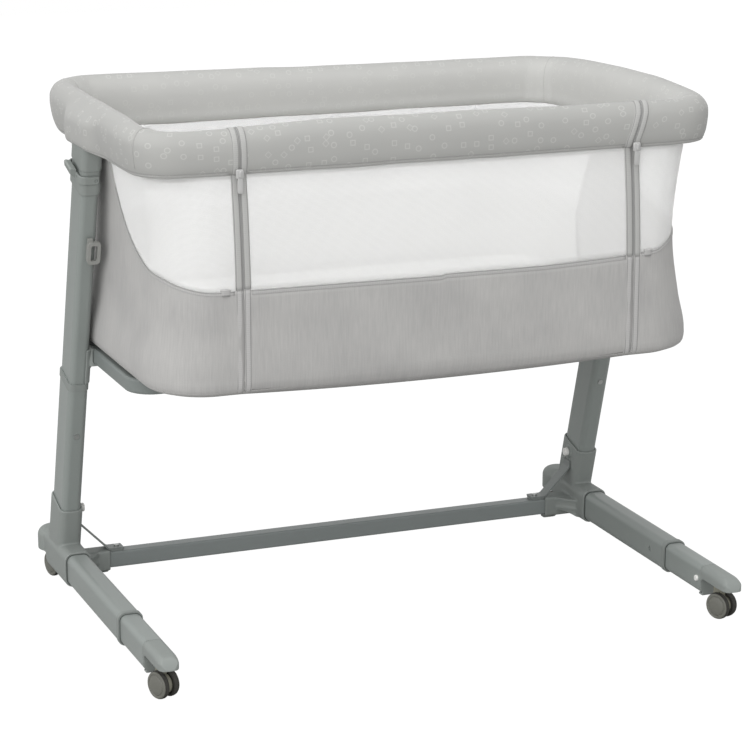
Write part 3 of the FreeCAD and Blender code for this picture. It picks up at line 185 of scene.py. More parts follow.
def makePrinted(name):
    material, tree, shader = newMaterial(name, {
        "Roughness": 0.9, "IOR": 1.45, "Specular IOR Level": 0.2, "Sheen Weight": 0.18, "Sheen Roughness": 0.45})
    place = placeOnPiece(tree, True)
    cloud = addNode(tree, "TexNoise", {"Vector": place, "Scale": 14.0, "Detail": 4.0})
    # painted light: the cloth is coloured lighter on the inside of the rail, standing in for the light that falls
    # there
    turned = addNode(tree, "SeparateXYZ", {"Vector": place})
    inside = addNode(tree, "MapRange", {
        "Value": turned.outputs["Y"], "From Min": printedCloth["paintedLightFrom"],
        "From Max": printedCloth["paintedLightTo"]}, interpolation_type="SMOOTHSTEP")
    ground = addNode(tree, "Mix", {0: inside.outputs[0]}, data_type="RGBA")
    for socket, patch, plain in ((6, "groundPatch", "ground"), (7, "paintedLightPatch", "paintedLightGround")):
        addNode(tree, "Mix", {0: cloud.outputs["Fac"], 6: printedCloth[patch], 7: printedCloth[plain]},
                ground.inputs[socket], data_type="RGBA")
    # the same scatter of centres measured round, square and diamond gives rings, squares and diamonds
    reach = {shape[0]: addNode(tree, "TexVoronoi", {
        "Vector": place, "Scale": 1000 / printedCloth["repeat"], "Randomness": printedCloth["scatter"]},
        distance=shape[0], voronoi_dimensions="2D") for shape in printedCloth["shapes"]}
    pick = addNode(tree, "SeparateColor", {"Color": reach["EUCLIDEAN"].outputs["Color"]})
    radius = printedCloth["shapeSize"] / printedCloth["repeat"]
    width = printedCloth["lineWidth"] / printedCloth["repeat"]
    rings = []
    for metric, low, high, grow in printedCloth["shapes"]:
        band = addNode(tree, "Math", {
            0: reach[metric].outputs["Distance"], 1: radius * grow, 2: width / 2}, operation="COMPARE")
        above = addNode(tree, "Math", {0: pick.outputs[0], 1: low}, operation="GREATER_THAN")
        below = addNode(tree, "Math", {0: pick.outputs[0], 1: high}, operation="LESS_THAN")
        both = addNode(tree, "Math", {0: above.outputs[0], 1: below.outputs[0]}, operation="MULTIPLY")
        ring = addNode(tree, "Math", {0: band.outputs[0], 1: both.outputs[0]}, operation="MULTIPLY")
        rings.append(ring.outputs[0])
    total = addNode(tree, "Math", {0: rings[0], 1: rings[1]}, operation="ADD")
    total = addNode(tree, "Math", {0: total.outputs[0], 1: rings[2]}, operation="ADD", use_clamp=True)
    ink = addNode(tree, "Math", {0: total.outputs[0], 1: printedCloth["ink"]}, operation="MULTIPLY")
    addNode(tree, "Mix", {0: ink.outputs[0], 6: ground.outputs[2], 7: printedCloth["print"]},
            shader.inputs["Base Color"], data_type="RGBA")
    knit = addNode(tree, "TexNoise", {"Vector": place, "Scale": 700.0, "Detail": 2.0})
    addNode(tree, "Bump", {"Height": knit.outputs["Fac"], "Distance": 0.00025, "Strength": 0.45},
            shader.inputs["Normal"])
    return material


# knitted air mesh: white polyester net, its holes drawn at about twice their real size; the rear copy is painted
# light: whiter and more see-through than the same net in front, so that it reads brighter
airMesh = {"thread": "#FBFBFA", "holePitch": 1.5, "solid": 0.64, "open": 0.46, "holeRadius": 0.34,
           "holeEdge": 0.08, "paintedLightRearThread": "#FCFCFB", "paintedLightRearSolid": 0.34, "paintedLightRearOpen": 0.22}


def makeAirMesh(name, thread, solid, opened):
    material, tree, shader = newMaterial(name, {
        "Base Color": thread, "Roughness": 0.85, "IOR": 1.45, "Specular IOR Level": 0.15,
        "Subsurface Weight": 0.7, "Subsurface Radius": (1.0, 1.0, 1.0), "Subsurface Scale": 0.006})
    cells = addNode(tree, "TexVoronoi", {
        "Vector": placeOnPiece(tree, True), "Scale": 1000 / airMesh["holePitch"], "Randomness": 0.15},
        voronoi_dimensions="2D")
    addNode(tree, "MapRange", {
        "Value": cells.outputs["Distance"], "From Min": airMesh["holeRadius"] - airMesh["holeEdge"],
        "From Max": airMesh["holeRadius"] + airMesh["holeEdge"], "To Min": opened, "To Max": solid},
        shader.inputs["Alpha"])
    return material


# zip tape and webbing: narrow woven polyester, ribbed along its length, with a row of stitches near its edge
def makeTape(name, colour, dark, stitchAt=0.0, pitch=1.3):
    material, tree, shader = newMaterial(name, {
        "Roughness": 0.8, "IOR": 1.45, "Specular IOR Level": 0.25, "Sheen Weight": 0.1})
    place = placeOnPiece(tree, True)
    ribs = addNode(tree, "TexWave", {
        "Vector": place, "Scale": 1000 / pitch / 20 * math.pi, "Distortion": 0.2}, bands_direction="X")
    fleck = addNode(tree, "TexNoise", {"Vector": place, "Scale": 420.0, "Detail": 2.0})
    both = addNode(tree, "Math", {0: ribs.outputs["Fac"], 1: fleck.outputs["Fac"]}, operation="MULTIPLY")
    woven = addNode(tree, "Mix", {0: both.outputs[0], 6: colour, 7: dark}, data_type="RGBA")
    height = ribs.outputs["Fac"]
    if stitchAt:
        # the second UV coordinate is the distance from the middle of the band
        parted = addNode(tree, "SeparateXYZ", {"Vector": place})
        away = addNode(tree, "Math", {0: parted.outputs["Y"]}, operation="ABSOLUTE")
        line = addNode(tree, "Math", {0: away.outputs[0], 1: stitchAt / 1000, 2: 0.00045}, operation="COMPARE")
        woven = addNode(tree, "Mix", {0: line.outputs[0], 6: woven.outputs[2], 7: "#8E8E8D"}, data_type="RGBA")
        height = addNode(tree, "Math", {0: 1.0, 1: line.outputs[0]}, operation="SUBTRACT").outputs[0]
    tree.links.new(woven.outputs[2], shader.inputs["Base Color"])
    addNode(tree, "Bump", {"Height": height, "Distance": 0.0003, "Strength": 0.6}, shader.inputs["Normal"])
    return material


# quilted knit of the mattress cover: white, with shallow diamond channels, coloured a little darker along the
# channels as painted shade in their hollows
mattressCloth = {"white": "#F1F1EF", "paintedChannelShade": "#E9E9E7", "diamond": 42.0, "channelDepth": 1.4}


def makeQuilted(name):
    material, tree, shader = newMaterial(name, {
        "Roughness": 0.92, "IOR": 1.45, "Specular IOR Level": 0.15, "Sheen Weight": 0.15})
    cells = addNode(tree, "TexVoronoi", {
        "Vector": placeOnPiece(tree, False, (1, 1, 0), 45.0), "Scale": 1000 / mattressCloth["diamond"],
        "Randomness": 0.0}, voronoi_dimensions="2D", distance="CHEBYCHEV")
    channel = addNode(tree, "MapRange", {
        "Value": cells.outputs["Distance"], "From Min": 0.36, "From Max": 0.5, "To Min": 1.0,
        "To Max": 0.0}, interpolation_type="SMOOTHSTEP")
    # painted shade: the channel lines are coloured darker where they sink
    addNode(tree, "Mix", {0: channel.outputs[0], 6: mattressCloth["paintedChannelShade"], 7: mattressCloth["white"]},
            shader.inputs["Base Color"], data_type="RGBA")
    knit = addNode(tree, "TexNoise", {"Vector": placeOnPiece(tree, False), "Scale": 520.0})
    fine = addNode(tree, "Bump", {"Height": knit.outputs["Fac"], "Distance": 0.0002, "Strength": 0.5})
    addNode(tree, "Bump", {
        "Height": channel.outputs[0], "Distance": mattressCloth["channelDepth"] / 1000, "Strength": 0.6,
        "Normal": fine.outputs[0]}, shader.inputs["Normal"])
    return material


materials = {
    "frame": makeHard("powderCoatedSteelTube", "powderCoated", "#8F9592", "#8A908D"),
    "crossbar": makeHard("powderCoatedSteelBar", "powderCoated", "#888E8D", "#828887"),
    "underFrame": makeHard("powderCoatedSteelBow", "powderCoated", "#7E8482", "#787E7C"),
    "moulding": makeHard("mouldedPolypropyleneGrey", "moulded", "#8D928F", "#878C89"),
    # painted shade: dark ring material that stands in for the shadow in the gap at each socket lip
    "paintedShadeSocketGap": makeHard("mouldedSocketLiner", "moulded", "#565A58", "#505452", Roughness=0.6),
    "loop": makeHard("mouldedNylonLoop", "moulded", "#9B9C98", "#949591", Roughness=0.45),
    "brace": makeHard("powderCoatedSteelStrip", "powderCoated", "#7C817F", "#767B79"),
    "zinc": makeHard("zincPlatedScrew", "zincPlated", "#B9BBB9", "#C9CBC9"),
    "button": makeHard("polishedAcetalWhite", "polished", "#EDEDEA", "#E6E6E3", Roughness=0.3),
    "zip": makeHard("mouldedZipNylon", "polished", "#BDBDBC", "#B4B4B3", Roughness=0.35),
    "housing": makeHard("mouldedCasterHousing", "moulded", "#8F8E80", "#868577", Roughness=0.42),
    "disc": makeHard("mouldedCasterDisc", "moulded", "#71716A", "#6A6A63", Roughness=0.45),
    "tread": makeHard("softPolyurethaneTread", "polyurethane", "#302F2B", "#3E3D39"),
    "panel": makeHeather("heatherPolyesterWeave", heatherCloth["light"], heatherCloth["dark"]),
    "lining": makeHeather("whiteLiningWeave", "#F1F1F0", "#EAEAE9"),
    "rail": makePrinted("printedBrushedKnit"),
    "mesh": makeAirMesh("knittedAirMesh", airMesh["thread"], airMesh["solid"], airMesh["open"]),
    # painted light: the rear mesh is a whiter, more see-through copy of the same net, so that it reads brighter
    "rearMesh": makeAirMesh("paintedLightAirMesh", airMesh["paintedLightRearThread"], airMesh["paintedLightRearSolid"], airMesh["paintedLightRearOpen"]),
    "tape": makeTape("wovenZipTape", "#B3B3B1", "#A7A7A5", 3.9),
    "band": makeTape("stitchedWeaveBand", "#BAB9B8", "#ACABAA", 3.4),
    "binding": makeTape("foldedWeaveBinding", "#B4B3B2", "#A3A3A2"),
    "thread": makeTape("sunkenSeamThread", "#9E9E9C", "#909090"),
    "hem": makeTape("foldedKnitHem", "#ACACAA", "#A1A19F"),
    "coil": makeHard("zipCoilNylon", "polished", "#939392", "#8A8A89", Roughness=0.4),
    "mattress": makeQuilted("quiltedKnitWhite"),
    "board": makeHard("pressedBoard", "moulded", "#D5D4D0", "#CCCBC7", Roughness=0.7),
}
print("materials made")

slotFinish = {
    "frame_paint": "frame", "frame_plastic": "moulding", "brace_steel": "brace", "button_plastic": "button",
    "pin_steel": "zinc", "zip_plastic": "zip", "caster_housing": "housing", "caster_wheel": "disc",
    "under_frame_paint": "underFrame", "rail_fabric": "rail", "panel_fabric": "panel", "mesh_fabric": "mesh",
    "tape_fabric": "tape", "board": "board", "mattress_fabric": "mattress",
}
nodeFinish = {"crossbar": "crossbar", "strap_loops": "loop"}
nodeSlot = {part["node"]: part["material_slot"] for part in frame["record"]["subparts"]}
nodeBody = {node: body for body, members in frame["record"]["behaviour"]["bodies"].items() for node in members}


def paintCadNodes():
    # every carried-over piece of the frame gets the finish of its own slot
    for name, piece in frame["nodes"].items():
        finish = materials[nodeFinish.get(name, slotFinish[nodeSlot[name]])]
        for place in range(len(piece.material_slots)):
            piece.material_slots[place].material = finish
        if not piece.material_slots:
            piece.data.materials.append(finish)


paintCadNodes()


def gridPiece(name, points, uv=None, wrapRows=False, wrapColumns=False, closeEnds=False, smooth=True):
    # points is (rows, columns, 3); neighbours in both directions make a four-sided face, and a wrapped
    # direction joins its last line to its first; uv has one more line in a wrapped direction
    points = np.asarray(points, float)
    rows, columns = points.shape[:2]
    i, j = np.meshgrid(np.arange(rows if wrapRows else rows - 1), np.arange(columns if wrapColumns else columns - 1),
                       indexing="ij")
    i, j = i.ravel(), j.ravel()
    corners = [(i, j), (i + 1, j), (i + 1, j + 1), (i, j + 1)]
    faces = np.stack([(a % rows) * columns + b % columns for a, b in corners], 1)
    mesh = bpy.data.meshes.new(name)
    mesh.vertices.add(rows * columns)
    mesh.vertices.foreach_set("co", points.reshape(-1))
    endLoops = []
    if closeEnds:
        endLoops = [np.arange(columns)[::-1], np.arange(columns) + (rows - 1) * columns]
    loops = np.concatenate([faces.ravel()] + endLoops) if endLoops else faces.ravel()
    starts = np.arange(len(faces)) * 4
    totals = np.full(len(faces), 4)
    for k, loop in enumerate(endLoops):
        starts = np.append(starts, len(faces) * 4 + k * columns)
        totals = np.append(totals, columns)
    mesh.loops.add(len(loops))
    mesh.loops.foreach_set("vertex_index", loops)
    mesh.polygons.add(len(starts))
    mesh.polygons.foreach_set("loop_start", starts)
    mesh.polygons.foreach_set("loop_total", totals)
    mesh.polygons.foreach_set("use_smooth", np.full(len(starts), smooth))
    if uv is not None:
        layer = mesh.uv_layers.new(name="cut")
        flat = np.stack([np.asarray(uv, float)[a, b] for a, b in corners], 1).reshape(-1, 2)
        if endLoops:
            flat = np.concatenate([flat, np.zeros((2 * columns, 2))])
        layer.data.foreach_set("uv", flat.ravel())
    mesh.update(calc_edges=True)
    mesh.validate()
    piece = bpy.data.objects.new(name, mesh)
    bpy.context.scene.collection.objects.link(piece)
    return piece


def finishPiece(piece, finish, body, replaced=()):
    piece.data.materials.clear()
    piece.data.materials.append(materials[finish])
    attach(piece, body)
    if replaced:
        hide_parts(*replaced)
    return piece


def pointOutwards(piece, mergeReach=1e-6):
    # doubled corners are merged, then the faces are turned to look out of the closed shape
    work = bmesh.new()
    work.from_mesh(piece.data)
    bmesh.ops.remove_doubles(work, verts=work.verts, dist=mergeReach)
    bmesh.ops.recalc_face_normals(work, faces=work.faces)
    work.to_mesh(piece.data)
    work.free()
    piece.data.update()
    return piece


def smoothThrough(knots, values, at):
    # cubic through the given values, with each slope taken from its two neighbours
    knots, values, at = (np.asarray(v, float) for v in (knots, values, at))
    slopes = np.gradient(values, knots)
    cell = np.clip(np.searchsorted(knots, at) - 1, 0, len(knots) - 2)
    span = knots[cell + 1] - knots[cell]
    t = np.clip((at - knots[cell]) / span, 0, 1)
    a = (2 * t ** 3 - 3 * t ** 2 + 1) * values[cell] + (t ** 3 - 2 * t ** 2 + t) * span * slopes[cell]
    b = (3 * t ** 2 - 2 * t ** 3) * values[cell + 1] + (t ** 3 - t ** 2) * span * slopes[cell + 1]
    return a + b


def smoothLoop(points, count):
    # closed cubic through a ring of points, evenly spaced by length
    points = np.asarray(points, float)
    ring = np.vstack([points[-3:], points, points[:4]])
    steps = np.concatenate([[0], np.cumsum(np.linalg.norm(np.diff(ring, axis=0), axis=1))])
    fine = np.linspace(steps[3], steps[3 + len(points)], 400)
    curve = np.stack([smoothThrough(steps, ring[:, k], fine) for k in range(points.shape[1])], 1)
    length = np.concatenate([[0], np.cumsum(np.linalg.norm(np.diff(curve, axis=0), axis=1))])
    even = np.linspace(0, length[-1], count + 1)
    return np.stack([np.interp(even, length, curve[:, k]) for k in range(points.shape[1])], 1), length[-1]


def roundedOutline(along, halfX, halfY, radius, middleY):
    # point and outward direction on a rounded rectangle, by the length walked from the front's middle
    # towards +X: a centre that slides along the straights, plus the radius times a direction that turns
    # only at the corners
    cx, cy, quarter = halfX - radius, halfY - radius, radius * math.pi / 2
    stops = np.cumsum([0, cx, quarter, 2 * cy, quarter, 2 * cx, quarter, 2 * cy, quarter, cx])
    centresX = [0, cx, cx, cx, cx, -cx, -cx, -cx, -cx, 0]
    centresY = [-cy, -cy, -cy, cy, cy, cy, cy, -cy, -cy, -cy]
    angles = np.radians([-90, -90, 0, 0, 90, 90, 180, 180, 270, 270])
    s = np.mod(along, stops[-1])
    angle = np.interp(s, stops, angles)
    x = np.interp(s, stops, centresX) + radius * np.cos(angle)
    y = np.interp(s, stops, centresY) + radius * np.sin(angle) + middleY
    return x, y, np.cos(angle), np.sin(angle), stops


def softNoise(u, v, seed, waves=7, size=0.1):
    # sum of a few sine waves in random directions and phases, from -1 to 1
    rng = np.random.default_rng(seed)
    total = np.zeros(np.broadcast(u, v).shape)
    weight = 0
    for k in range(waves):
        turn, phase = rng.uniform(0, math.tau), rng.uniform(0, math.tau)
        pace = math.tau / (size * rng.uniform(0.6, 1.8))
        share = rng.uniform(0.5, 1.0)
        total += share * np.sin((u * math.cos(turn) + v * math.sin(turn)) * pace + phase)
        weight += share
    return total / weight


# ---- camera, light and floor
def setCamera():
    turn, tilt, roll = (math.radians(cameraSpot[k]) for k in ("turn", "tilt", "roll"))
    back = Vector((math.sin(turn) * math.cos(tilt), -math.cos(turn) * math.cos(tilt), math.sin(tilt)))
    right = Vector((math.cos(turn), math.sin(turn), 0))
    up = back.cross(right)
    rolledRight = right * math.cos(roll) + up * math.sin(roll)
    rolledUp = up * math.cos(roll) - right * math.sin(roll)
    data = bpy.data.cameras.new("camera")
    data.sensor_width = cameraSpot["sensor"]
    data.lens = cameraSpot["focalPixels"] / cameraSpot["imagePixels"] * cameraSpot["sensor"]
    data.clip_end = 60
    camera = bpy.data.objects.new("camera", data)
    camera.matrix_world = Matrix([*zip(rolledRight, rolledUp, back, cameraSpot["place"]), (0, 0, 0, 1)])
    bpy.context.scene.collection.objects.link(camera)
    bpy.context.scene.camera = camera


def addLamp(name, power, place, size, aim=(0, 0, 0.4)):
    data = bpy.data.lights.new(name, "AREA")
    data.energy = power
    data.shape = "DISK"
    data.size = size
    lamp = bpy.data.objects.new(name, data)
    lamp.location = place
    lamp.rotation_euler = (Vector(aim) - Vector(place)).to_track_quat("-Z", "Y").to_euler()
    bpy.context.scene.collection.objects.link(lamp)


def seenDirectly(tree):
    # by the camera, or through the holes of the mesh
    path = addNode(tree, "LightPath")
    either = addNode(tree, "Math", {
        0: path.outputs["Is Camera Ray"], 1: path.outputs["Is Transmission Ray"]}, operation="MAXIMUM")
    return either.outputs[0]


def setStudio():
    for name, (power, place, size) in studio["lamps"].items():
        addLamp(name, power, place, size)
    world = bpy.data.worlds.new("studio")
    bpy.context.scene.world = world
    world.use_nodes = True
    tree = world.node_tree
    tree.nodes.clear()
    seen = seenDirectly(tree)
    sky = addNode(tree, "Background", {"Color": (1, 1, 1, 1), "Strength": studio["skyStrength"]})
    plain = addNode(tree, "Background", {"Color": (1, 1, 1, 1), "Strength": 1.0})
    output = addNode(tree, "OutputWorld")
    addNode(tree, "MixShader", {0: seen, 1: sky.outputs[0], 2: plain.outputs[0]}, output.inputs["Surface"])

    half = studio["floorSize"] / 2
    corner = np.array([-half, half])
    x, y = np.meshgrid(corner, corner, indexing="ij")
    floor = gridPiece("floor", np.stack([x, y, np.zeros_like(x)], -1))
    material, tree, shader = newMaterial("paintedStudioFloor", {
        "Base Color": studio["floorWhite"], "Roughness": 0.9, "Specular IOR Level": 0.1})
    seen = seenDirectly(tree)
    share = addNode(tree, "Math", {0: seen, 1: studio["floorLift"]}, operation="MULTIPLY")
    white = addNode(tree, "Emission", {"Color": (1, 1, 1, 1), "Strength": studio["floorStrength"]})
    addNode(tree, "MixShader", {0: share.outputs[0], 1: shader.outputs[0], 2: white.outputs[0]},
            tree.nodes["Material Output"].inputs["Surface"])
    floor.data.materials.append(material)
    bpy.context.scene.view_settings.view_transform = "Standard"


setCamera()
setStudio()
print("camera and studio set")


# ---- the bed's walls
shell = {
    "middleY": 0.042,
    "levels": [0.392, 0.3965, 0.405, 0.416, 0.470, 0.540, 0.622, 0.6877, 0.705],
    "leftLengths": [0.386, 0.3975, 0.4025, 0.4030, 0.3965, 0.3930, 0.3950, 0.4010, 0.4030],
    "rightLengths": [0.386, 0.3975, 0.4025, 0.4025, 0.3890, 0.3770, 0.3840, 0.3990, 0.4030],
    "halfWidths": [0.262, 0.2715, 0.2755, 0.2762, 0.2762, 0.276, 0.270, 0.262, 0.2605],
    "halfLength": 0.400, "halfWidth": 0.272, "corner": 0.078,
    "straightX": 0.300, "straightY": 0.180,
    "meshLow": 0.537, "meshTop": 0.694, "floor": 0.392,
    # the curved seam on the bed's ends: place along Y, and height above the level seam in front
    "seamY": [-0.233, -0.224, -0.190, -0.139, -0.090, -0.050, -0.022, -0.008, -0.002],
    "seamRise": {-1: [0.0, 0.004, 0.016, 0.025, 0.043, 0.071, 0.110, 0.140, 0.157],
                 1: [0.0, 0.010, 0.023, 0.037, 0.050, 0.075, 0.111, 0.140, 0.157]},
    # the level seam hangs a little: place along X, and how far it lies below or above
    "hangX": [-0.403, -0.287, -0.150, 0.050, 0.160, 0.240, 0.287, 0.340, 0.403],
    "hang": [-0.0030, -0.0035, -0.0045, -0.0060, -0.0060, -0.0035, -0.0010, 0.0030, 0.0030],
    # the slanted seam between end panel and rear panel: at this height it lies here, and moves so per height
    "slantHigh": 0.625, "slantY": 0.097, "slant": 0.29,
    "sheetThickness": 0.0012, "sag": 0.0060, "liningFoot": 0.4035,
    # the side seam climbs steeply behind this depth; the rear sheets meet this far along the rear side
    "steepY": -0.085, "rearJoin": 0.03,
    # behind this depth the bed grows a little narrower, and its rear corners are rounder
    "tuckY": 0.080, "tuckReach": 0.170, "tuck": 0.0100, "tuckX": 0.2, "tuckSpan": 0.12,
    "rearCorner": -0.0090, "rearReach": 0.105,
}


def lowerEdge(along):
    # the front panel's hem sags towards its middle: a parabola between the zips
    return shell["floor"] - shell["sag"] * np.clip(1 - (np.abs(along) / zips["place"]) ** 2, 0, 1)


def rearBump(walk, stops, reach):
    # one in the middle of each rear corner, falling smoothly to nothing at this reach along the walk
    corner = (stops[3] + stops[4]) / 2
    around = np.abs(np.mod(walk + stops[-1] / 2, stops[-1]) - stops[-1] / 2)
    return np.cos(np.clip(np.abs(around - corner) / reach, 0, 1) * math.pi / 2) ** 2


def shellPoint(along, z, lift=0.0):
    # the outline walked at the reference size, then stretched beyond the straight middle of each side
    # to the half length and half width that the bed has at height z; lift stands out from the cloth
    x, y, nx, ny, stops = roundedOutline(along, shell["halfLength"], shell["halfWidth"], shell["corner"], 0.0)
    halfX = np.where(x < 0, smoothThrough(shell["levels"], shell["leftLengths"], z),
                     smoothThrough(shell["levels"], shell["rightLengths"], z))
    halfY = smoothThrough(shell["levels"], shell["halfWidths"], z)
    beyondX = np.maximum(np.abs(x) - shell["straightX"], 0)
    beyondY = np.maximum(np.abs(y) - shell["straightY"], 0)
    newX = np.sign(x) * (np.minimum(np.abs(x), shell["straightX"])
                         + beyondX * (halfX - shell["straightX"]) / (shell["halfLength"] - shell["straightX"]))
    newY = np.sign(y) * (np.minimum(np.abs(y), shell["straightY"])
                         + beyondY * (halfY - shell["straightY"]) / (shell["halfWidth"] - shell["straightY"]))
    back = np.clip((y - shell["tuckY"]) / shell["tuckReach"], 0, 1)
    ends = np.clip((np.abs(x) - shell["tuckX"]) / shell["tuckSpan"], 0, 1)
    newX = newX - np.sign(x) * shell["tuck"] * back * back * (3 - 2 * back) * ends
    lift = lift + shell["rearCorner"] * rearBump(along, stops, shell["rearReach"])
    return np.stack([newX + nx * lift, newY + ny * lift + shell["middleY"], z + 0 * x], -1)


def seamHeight(along):
    # height of the seam between grey cloth and mesh; level in front, rising along the bed's ends
    x, y = roundedOutline(along, shell["halfLength"], shell["halfWidth"], shell["corner"], shell["middleY"])[:2]
    hang = smoothThrough(shell["hangX"], shell["hang"], x)
    y = np.clip(y, shell["seamY"][0], shell["seamY"][-1])
    rise = 0
    for side, rises in shell["seamRise"].items():
        blend = np.interp(y, shell["seamY"], rises) * 0.35 + smoothThrough(shell["seamY"], rises, y) * 0.65
        rise = rise + blend * (np.sign(x) == side)
    return shell["meshLow"] + hang + rise


shellStops = roundedOutline(np.zeros(1), shell["halfLength"], shell["halfWidth"], shell["corner"], 0.0)[4]
wallLength = shellStops[-1]


def alongAtEnd(y):
    # length walked from the front's middle to the point of the right end that lies at depth y
    return shellStops[2] + (y - shell["middleY"]) + shell["halfWidth"] - shell["corner"]


def slantShift(z):
    return (shell["slantHigh"] - z) * shell["slant"]


def wallSheet(name, along, lower, upper, step, ripple, seed, lift, slantStart=0, slantEnd=0):
    # rows walk round the bed, columns climb from the lower to the upper edge; both edges may be functions.
    # A slanted start or end moves with height, and fades along the sheet as the sixth power of the way
    low = lower(along) if callable(lower) else np.full_like(along, lower)
    high = upper(along) if callable(upper) else np.full_like(along, upper)
    columns = max(int(np.max(high - low) / step), 2)
    climb = np.linspace(0, 1, columns + 1)
    z = low[:, None] + (high - low)[:, None] * climb[None, :]
    way = np.linspace(0, 1, len(along))[:, None]
    walk = along[:, None] + slantShift(z) * (slantEnd * way ** 6 + slantStart * (1 - way) ** 6)
    fade = np.sin(np.pi * np.clip(climb, 0.02, 0.98))[None, :]
    push = lift + ripple * softNoise(walk, z * 0.6, seed, 8, 0.16) * fade
    points = shellPoint(walk, z, push)
    uv = np.stack([walk, z], -1)
    piece = gridPiece(name, points, uv)
    steps = np.linalg.norm(np.diff(points, axis=0), axis=2)[:, :-1] * np.linalg.norm(np.diff(points, axis=1),
                                                                                   axis=2)[:-1, :]
    lean = np.abs(np.diff(z, axis=0)[:, :-1])
    area = float(np.sum(np.sqrt(np.maximum(steps ** 2 - (lean * np.diff(z, axis=1)[:-1, :]) ** 2, 0))))
    width = float(np.max(np.sum(np.linalg.norm(np.diff(points, axis=0), axis=2), 0)))
    height = float(np.max(np.sum(np.linalg.norm(np.diff(points, axis=1), axis=2), 1)))
    return piece, (width, height), area


def thicken(piece, thickness):
    wall = piece.modifiers.new("thickness", "SOLIDIFY")
    wall.thickness = thickness
    wall.offset = 0.0


# finish of a sheet: its slot, what it hangs on or stands on, and how far it stands out from the shell
sheetKinds = {
    "mesh": ("mesh_fabric", "rail_cover", -0.0012), "rearMesh": ("mesh_fabric", "rail_cover", -0.0004),
    "panel": ("panel_fabric", "floor_fabric", 0.0), "lining": ("mesh_fabric", "base_board", -0.0040),
}


def hangSheet(name, finish, replaced, *shape, body="bassinet", restsOn=None, **slants):
    slot, carrier, lift = sheetKinds[finish]
    piece, flat, area = wallSheet(name, *shape, lift, **slants)
    thicken(piece, shell["sheetThickness"])
    finishPiece(piece, finish, body, [replaced] if replaced else ())


def ridge(name, surface, path, across, width, height, finish, body="bassinet", slot="panel_fabric", replaced=(),
          columns=9, sunk=0.0009, shoulder=4):
    # a raised band sewn on a surface: its section is height * (1 - |u| ^ shoulder) over the band's width,
    # closed below at the depth it is sunk in; path and across are (walk, climb) on the surface, and across
    # may turn with the path
    across = np.asarray(across, float).reshape(-1, 1, 2)
    u = np.linspace(-1, 1, columns)
    top = height * (1 - np.abs(u) ** shoulder)
    ringAcross = np.concatenate([u * width / 2, u[::-1] * width / 2])
    ringLift = np.concatenate([top, np.full(columns, -sunk)])
    place = path[:, None, :] + across * ringAcross[None, :, None]
    points = surface(place[..., 0], place[..., 1], np.repeat(ringLift[None, :], len(path), 0))
    gone = np.linalg.norm(np.diff(points[:, columns // 2], axis=0), axis=1)
    gone = np.concatenate([[0], np.cumsum(gone)])
    ringUv = np.append(ringAcross, ringAcross[0])
    uv = np.stack([np.repeat(gone[:, None], len(ringUv), 1), np.repeat(ringUv[None, :], len(path), 0)], -1)
    piece = gridPiece(name, points, uv, wrapColumns=True, closeEnds=True)
    finishPiece(pointOutwards(piece), finish, body, replaced)


zips = {
    "place": 0.287, "gap": 0.0006, "bandWidth": 0.0098, "bandMiddle": 0.0058, "bandProud": 0.0017,
    "coilWidth": 0.0022, "coilProud": 0.0007, "lowProud": 0.0012,
}


def makeWalls():
    edge = zips["place"] - zips["gap"] / 2
    start = zips["place"] + zips["gap"] / 2
    top, floorZ, low = shell["meshTop"], shell["floor"], shell["meshLow"]
    steep = alongAtEnd(shell["steepY"])
    crest = alongAtEnd(shell["seamY"][-1])
    slanted = alongAtEnd(shell["slantY"])
    rearFace = shellStops[4] + shell["rearJoin"]
    # the last three numbers of each sheet: net size, depth of its ripples, and their seed
    curved = np.unique(np.concatenate([np.arange(start, steep, 0.007), np.arange(steep, crest, 0.0015), [crest]]))
    hangSheet("dropSideMesh", "mesh", "front_mesh", np.linspace(-edge, edge, 60), seamHeight, top, 0.010, 0.0012, 3,
              body="drop_side", restsOn="front_rail_cover")
    for name, side in sideList:
        hangSheet(name + "CornerMesh", "mesh", "corner_mesh", curved * side, seamHeight, top, 0.008, 0.0012,
                  5 + side)
        whole = np.concatenate([curved, np.linspace(crest, slanted, 14)[1:]]) * side
        hangSheet(name + "EndPanel", "panel", "end_panel_" + name, whole, floorZ, seamHeight, 0.008, 0.0018,
                  11 + side, slantEnd=side)
        rear = np.linspace(slanted, rearFace, 36) * side
        hangSheet(name + "RearCornerPanel", "panel", "end_panel_" + name, rear, floorZ, low, 0.008, 0.0012,
                  23 + side, slantStart=side)
        hangSheet(name + "RearCornerMesh", "rearMesh", "corner_mesh", rear, low, top, 0.008, 0.001, 29 + side,
                  slantStart=side)
    hangSheet("frontPanel", "panel", "front_panel", np.linspace(-start, start, 60), lowerEdge, seamHeight, 0.010,
              0.0016, 31)
    back = np.linspace(rearFace, wallLength - rearFace, 60)
    hangSheet("rearPanel", "panel", "rear_panel", back, floorZ, low, 0.010, 0.0016, 37)
    hangSheet("rearMesh", "rearMesh", "rear_mesh", back, low, top, 0.010, 0.0012, 41)
    # white lining inside the rear half, up to the mesh
    inside = np.linspace(slanted, wallLength - slanted, 130)
    hangSheet("rearLining", "lining", None, inside, shell["liningFoot"], low, 0.010, 0.0006, 43, slantStart=1,
              slantEnd=-1)


